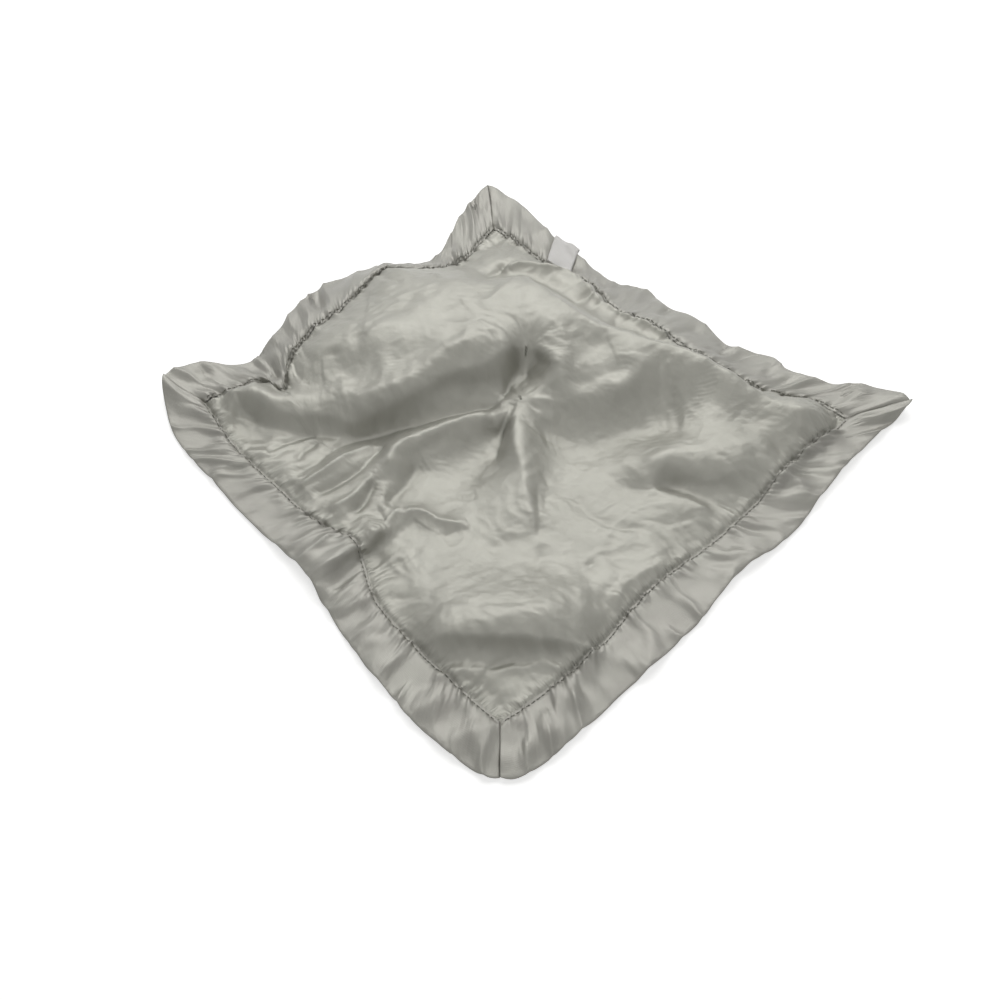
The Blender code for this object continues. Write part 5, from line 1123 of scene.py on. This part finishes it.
def grow_pile(points, outward, height, grain):
    """The points moved out by uneven tufts of pile."""
    tufts = uneven(points[..., 0] / grain + points[..., 2] / grain * 0.7,
                   points[..., 1] / grain + points[..., 2] / grain * 0.7, 91)
    return points + outward * (tufts * height)[..., None]


ring_places = np.concatenate([[0.004, 0.012, 0.024], np.linspace(0.04, 1.0, 60)])
ring_turns = np.linspace(0.0, math.tau, 72, endpoint=False)
outer = head_surface(ring_places, ring_turns, 0.0)
out_ways = around_head(ring_turns)
# the skin's two halves meet at its sides in a seam that sinks into the pile
seam_dip = SKIN_SEAM_DIP * np.exp(-(np.abs(np.sin(ring_turns)) / 0.05) ** 2)
outer = grow_pile(outer, out_ways[None], HEAD_PILE, PILE_GRAIN) - out_ways[None] * seam_dip[None, :, None]
inner = head_surface(ring_places, ring_turns, SKIN_THICKNESS)
rings, around = outer.shape[:2]
index = np.arange(rings * around).reshape(rings, around)
shift = rings * around
faces = ring_faces(index) + [face[::-1] for face in ring_faces(index + shift)]
faces += [tuple(index[0]), tuple(index[0, ::-1] + shift)]
faces += ring_faces(np.stack([index[-1], index[-1] + shift]))
points = np.concatenate([outer.reshape(-1, 3), inner.reshape(-1, 3)])
skin = add_piece("head_plush_skin", "head_skin", points, faces, plush, "head")


# Head stuffing
# White polyester fibre that fills the skin. It shows only through the neck.

FILL_GAP = 0.0006
FILL_LUMP_SIZE = 0.009
FILL_LUMP_DEPTH = 0.0012

# strands run every way, with shadow between them
strands = ("TexNoise", {"Scale": 500.0, "Detail": 6.0, "Roughness": 0.7, "Distortion": 1.5}, {})
fibrefill = fibre_material("polyester fibrefill", "#F2F1EC", "#BDBBB4", strands, (0.8, 0.001), 1.0, 0.3)
fill_places = np.concatenate([[0.01, 0.03], np.linspace(0.06, 0.90, 30)])
fill_turns = np.linspace(0.0, math.tau, 40, endpoint=False)
fill = head_surface(fill_places, fill_turns, SKIN_THICKNESS + FILL_GAP)
lumps = np.abs(uneven(fill[..., 0] / FILL_LUMP_SIZE, fill[..., 1] / FILL_LUMP_SIZE, 95))
fill = fill - around_head(fill_turns)[None] * lumps[..., None] * FILL_LUMP_DEPTH
index = np.arange(fill.shape[0] * fill.shape[1]).reshape(fill.shape[:2])
faces = ring_faces(index) + [tuple(index[0]), tuple(index[-1, ::-1])]
stuffing = add_piece("head_fibrefill", "head_stuffing", fill.reshape(-1, 3), faces, fibrefill,
                     "head")


# Muzzle
# A small padded oval of the same plush, sewn on to the face, with a seam down its middle.

MUZZLE_LENGTH = 0.026
MUZZLE_WIDTH = 0.032
MUZZLE_PLACE_SHARE = 0.62
MUZZLE_PILE = 0.0005
MUZZLE_GROOVE = 0.0011
MUZZLE_GROOVE_WIDTH = 0.0012


def under_head(points):
    """Height of the head's under side over the points in plan, or of its middle beyond its edge."""
    off = points - neck_plan
    width, depth, middle = section_at(np.clip(1 + off @ head_along / HEAD_LENGTH, 0.0, 1.0))
    return middle - depth * np.sqrt(np.clip(1 - (off @ head_across / width) ** 2, 0.0, 1.0))


def out_of_oval(points, middle, along, length, width):
    """Square of how far out the points lie in plan, where the oval's rim is 1."""
    off = points - middle
    return (off @ along / length * 2) ** 2 + (off @ np.cross(up, along) / width * 2) ** 2


def pad(middle, size, heading, rows=24, columns=48, shape=None, roof=None):
    """Points and faces of an oval pad of a size; shape moves its points and roof cuts it flat."""
    tilts = np.linspace(0.0, math.pi, rows + 2)[1:-1]
    turns = np.linspace(0.0, math.tau, columns, endpoint=False)
    local = np.stack([np.sin(tilts)[:, None] * np.cos(turns), np.sin(tilts)[:, None] * np.sin(turns),
                      np.broadcast_to(np.cos(tilts)[:, None], (rows, columns))], -1)
    scaled = local * np.array(size) / 2
    if shape is not None:
        scaled = shape(scaled, local)
    aside = np.array([-heading[1], heading[0], 0.0])
    points = middle + scaled[..., :1] * heading + scaled[..., 1:2] * aside + scaled[..., 2:] * up
    if roof is not None:
        points[..., 2] = np.minimum(points[..., 2], roof(points) + 0.00003 * local[..., 2])
    index = np.arange(rows * columns).reshape(rows, columns)
    return points.reshape(-1, 3), ring_faces(index) + [tuple(index[0]), tuple(index[-1, ::-1])]


def muzzle_shape(scaled, local):
    """The seam down the muzzle's middle and the pile over it."""
    groove = MUZZLE_GROOVE * np.exp(-(scaled[..., 1] / MUZZLE_GROOVE_WIDTH) ** 2)
    grown = grow_pile(scaled, local, MUZZLE_PILE, PILE_GRAIN)
    grown[..., 2] += groove * np.clip(-local[..., 2], 0.0, 1.0)
    return grown


muzzle_middle = np.array([*head_section(MUZZLE_PLACE_SHARE)[0][:2], muzzle_height])
muzzle_size = (MUZZLE_LENGTH, MUZZLE_WIDTH, MUZZLE_DEPTH)
points, faces = pad(muzzle_middle, muzzle_size, head_along, shape=muzzle_shape,
                    roof=lambda points: under_head(points) + 0.0004)
muzzle = add_piece("muzzle_pad", "muzzle", points, faces, plush, "head")


# Embroidered nose and eyes
# Satin stitch in dark rayon thread, worked over and over in parallel rows so that each stands up as a
# small pillow. Nothing on the face is hard.

NOSE_LENGTH = 0.0075
NOSE_WIDTH = 0.011
EYE_WIDTH = 0.0072
EYE_DEPTH = 0.0022
EYE_SPACING = 0.026
NOSE_PLACE_SHARE = 0.56
EYE_PLACE_SHARE = 0.40
RIDGE_PITCH = 0.00055
RIDGE_HEIGHT = 0.00013

# parallel strands with a silky gloss
rayon = fibre_material("rayon embroidery thread", "#54463C", "#2B221C",
                       ("TexNoise", {"Scale": 900.0, "Detail": 2.0}, {}), (0.2, 0.0001), 0.38, 0.1)


def under_muzzle(points):
    """Height of the muzzle's under side over the points in plan."""
    out = out_of_oval(points, muzzle_middle, head_along, MUZZLE_LENGTH, MUZZLE_WIDTH)
    return muzzle_height - MUZZLE_DEPTH / 2 * np.sqrt(np.clip(1 - out, 0.0, 1.0)) + 0.0003


def stitched(scaled, local):
    """Ridges of satin stitch across the pad."""
    ridge = RIDGE_HEIGHT * np.abs(np.sin(scaled[..., 0] * math.pi / RIDGE_PITCH))
    return scaled + local * ridge[..., None]


nose_middle = np.array([*head_section(NOSE_PLACE_SHARE)[0][:2], muzzle_height - MUZZLE_DEPTH / 2 + 0.0001])
nose_size = (NOSE_LENGTH, NOSE_WIDTH, NOSE_DEPTH - 0.0002)
points, faces = pad(nose_middle, nose_size, head_along, 20, 120, stitched, under_muzzle)
nose = add_piece("nose_embroidery", "nose", points, faces, rayon, "head")
for name, side in (("eye_left", 1), ("eye_right", -1)):
    middle, width, depth = head_section(EYE_PLACE_SHARE)
    across = side * EYE_SPACING / 2
    sink = depth * math.sqrt(1 - (across / width) ** 2)
    spot = middle + head_across * across - up * (sink + 0.0003)
    points, faces = pad(spot, (EYE_WIDTH, EYE_WIDTH, EYE_DEPTH), head_along, 20, 96, stitched,
                        roof=lambda points: under_head(points) + 0.0003)
    eye = add_piece(name + "_embroidery", name, points, faces, rayon, "head")


# Mouth
# One curved line of backstitch in the same rayon, across the muzzle below the nose.

MOUTH_THREAD_RADIUS = 0.00035

mouth_line = []
half_size = np.array(muzzle_size) / 2
for turn in np.linspace(-1.0, 1.0, 61):
    x = MUZZLE_LENGTH * (0.28 - 0.1 * turn**2)
    y = MUZZLE_WIDTH * 0.44 / 2 * turn
    z = -half_size[2] * math.sqrt(1 - (x / half_size[0]) ** 2 - (y / half_size[1]) ** 2)
    way = np.array([x, y, z]) / half_size**2
    way = head_along * way[0] + head_across * way[1] + up * way[2]
    way /= np.linalg.norm(way)
    mouth_line.append(muzzle_middle + head_along * x + head_across * y + up * z + way * 0.0006)
mouth_line = np.array(mouth_line)
points, faces = join_tubes([tube(mouth_line[k:k + 6], MOUTH_THREAD_RADIUS) for k in range(0, 56, 5)])
add_piece("mouth_backstitch", "mouth_stitches", points, faces, rayon, "head")


# Ears
# Two flat plush ears sewn on beside the crown, each with a satin lining on the side that faces forward.

EAR_LENGTH = 0.026
EAR_WIDTH = 0.025
EAR_DEPTH = 0.0066
EAR_REACH = 0.011
EAR_PILE = 0.0004
EAR_HOLLOW = 0.0010
EAR_HOLLOW_SHARE = 0.75
LINING_DEPTH = 0.0024
LINING_SIZE_SHARE = 0.66


def ear_shape(scaled, local):
    """An ear with a pinched seam round its rim, hollowed a little on its lower side, and its pile."""
    grown = grow_pile(scaled, local, EAR_PILE, PILE_GRAIN)
    out = np.hypot(local[..., 0], local[..., 1])
    lower = np.clip(-local[..., 2], 0.0, 1.0)
    grown[..., 2] += EAR_HOLLOW * lower * np.clip(1 - (out / EAR_HOLLOW_SHARE) ** 2, 0.0, 1.0)
    return grown


def lining_shape(scaled, local):
    """A lining with small gathers round its edge."""
    turn = np.arctan2(local[..., 1], local[..., 0])
    out = np.hypot(local[..., 0], local[..., 1])
    scaled[..., 2] += 0.00012 * np.sin(turn * 22) * out**3
    return scaled


lining_satin = satin_material("lining satin", "#B6B4AB", "#A9A79E", [])
for name in ("ear_left", "ear_right"):
    joint = joint_of[name + "_fold"]
    root = np.array(joint["pos_m"])
    axis = np.array(joint["axis"])
    ahead = np.cross(up, axis)
    ahead /= np.linalg.norm(ahead)
    middle = root + ahead * EAR_REACH
    points, faces = pad(middle, (EAR_LENGTH, EAR_WIDTH, EAR_DEPTH), ahead, shape=ear_shape)
    ear = add_piece(name + "_plush", name, points, faces, plush, name)

    def under_ear(points):
        """Height of the ear's under side, hollow in its middle, over the points in plan."""
        out = out_of_oval(points, middle, ahead, EAR_LENGTH, EAR_WIDTH)
        hollow = EAR_HOLLOW * np.clip(1 - out / EAR_HOLLOW_SHARE**2, 0.0, 1.0)
        return middle[2] - EAR_DEPTH / 2 * np.sqrt(np.clip(1 - out, 0.0, 1.0)) + hollow + 0.0002

    lining_middle = middle + ahead * EAR_LENGTH * 0.1 - up * (EAR_DEPTH / 2 - 0.0004)
    lining_size = (EAR_LENGTH * LINING_SIZE_SHARE, EAR_WIDTH * LINING_SIZE_SHARE, LINING_DEPTH)
    points, faces = pad(lining_middle, lining_size, ahead, shape=lining_shape, roof=under_ear)
    maps = (points - lining_middle)[:, :2] / (2 * PANEL_HALF)
    lining = add_piece(name + "_satin_lining", name + "_lining", points, faces, lining_satin, name,
                       maps=maps)


# Neck stitches
# The ring of strong thread that closes the neck's edge against the plush panel. It goes over the edge again
# and again, in overcast stitches.

NECK_THREAD_RADIUS = 0.00038
NECK_THREAD_INSET = 0.0006
NECK_OVERCASTS = 36

middle, width, depth = head_section(1.0)
turns = np.linspace(0.0, math.tau, 145)[:-1]
ring = middle + head_along * 0.0007 + around_head(turns, width - NECK_THREAD_INSET, depth - NECK_THREAD_INSET)
ring = ring + head_along * (0.0003 * np.sin(turns * NECK_OVERCASTS))[:, None]
points, faces = tube(ring, NECK_THREAD_RADIUS, closed=True)
add_piece("neck_overcast", "neck_stitches", points, faces, thread, "head")


# Floor, light and camera
# The blanket lies on a white table under a large soft light behind it, as in a product photograph, and is
# seen from in front and above.


def seen_by_camera(tree):
    """1 for a ray that comes from the camera, straight, mirrored or passed through, and 0 for the others."""
    ray = add_node(tree, "LightPath").outputs
    seen = math_node(tree, "MAXIMUM", ray["Is Camera Ray"], ray["Is Glossy Ray"])
    return math_node(tree, "MAXIMUM", seen, ray["Is Transmission Ray"])


floor_mesh = bpy.data.meshes.new("table_top")
floor_mesh.from_pydata([(-3, -3, 0), (3, -3, 0), (3, 3, 0), (-3, 3, 0)], [], [(0, 1, 2, 3)])
floor = bpy.data.objects.new("table_top", floor_mesh)
bpy.context.scene.collection.objects.link(floor)
floor.location.z = -0.0002
floor_material, tree = new_material("white table")
grain = add_node(tree, "TexNoise", {"Scale": 4.0}).outputs["Fac"]
matt = add_node(tree, "BsdfDiffuse", {"Color": mixed_colour(tree, grain, "#E8E8E6", "#ECECEA")})
bright = add_node(tree, "Emission", {"Color": (1.0, 1.0, 1.0, 1.0), "Strength": 0.62})
dark = add_node(tree, "Emission", {"Color": (0.0, 0.0, 0.0, 1.0), "Strength": 0.0})
lift = add_node(tree, "MixShader", {0: seen_by_camera(tree), 1: dark.outputs[0], 2: bright.outputs[0]})
finish_material(floor_material, {0: matt.outputs[0], 1: lift.outputs[0]}, kind="AddShader")
floor_mesh.materials.append(floor_material)

world = bpy.data.worlds.new("studio")
bpy.context.scene.world = world
world.use_nodes = True
tree = world.node_tree
tree.nodes.clear()
world_output = add_node(tree, "OutputWorld")
room = add_node(tree, "Background", {"Color": (1.0, 1.0, 1.0, 1.0), "Strength": 0.14})
backdrop = add_node(tree, "Background", {"Color": (1.0, 1.0, 1.0, 1.0), "Strength": 1.0})
choice = add_node(tree, "MixShader", {0: seen_by_camera(tree), 1: room.outputs[0], 2: backdrop.outputs[0]})
tree.links.new(choice.outputs[0], world_output.inputs["Surface"])


def add_soft_light(name, place, target, width, height, power):
    """A softbox that faces the target."""
    light = bpy.data.lights.new(name, "AREA")
    light.shape = "RECTANGLE"
    light.size, light.size_y, light.energy = width, height, power
    lamp = bpy.data.objects.new(name, light)
    lamp.location = place
    way = Vector(target) - Vector(place)
    lamp.rotation_euler = way.to_track_quat("-Z", "Y").to_euler()
    bpy.context.scene.collection.objects.link(lamp)
    return lamp


add_soft_light("softbox_behind", (-0.62, 0.62, 1.05), (0.0, 0.0, 0.0), 1.7, 1.1, 15.0)
add_soft_light("fill_in_front", (0.7, -0.5, 1.3), (0.0, 0.0, 0.0), 1.0, 1.0, 2.0)

camera = bpy.data.objects.new("camera", bpy.data.cameras.new("camera"))
camera.data.lens = 50.4
camera.data.sensor_width = 36.0
aim = Vector((0.0501, -0.0486, 0.0)) - Vector(blanket_middle)
camera.location = Vector((0.3903, -0.3888, 0.5734)) - Vector(blanket_middle)
camera.rotation_euler = (aim - camera.location).to_track_quat("-Z", "Y").to_euler()
bpy.context.scene.collection.objects.link(camera)
bpy.context.scene.camera = camera
bpy.context.scene.view_settings.view_transform = "Standard"
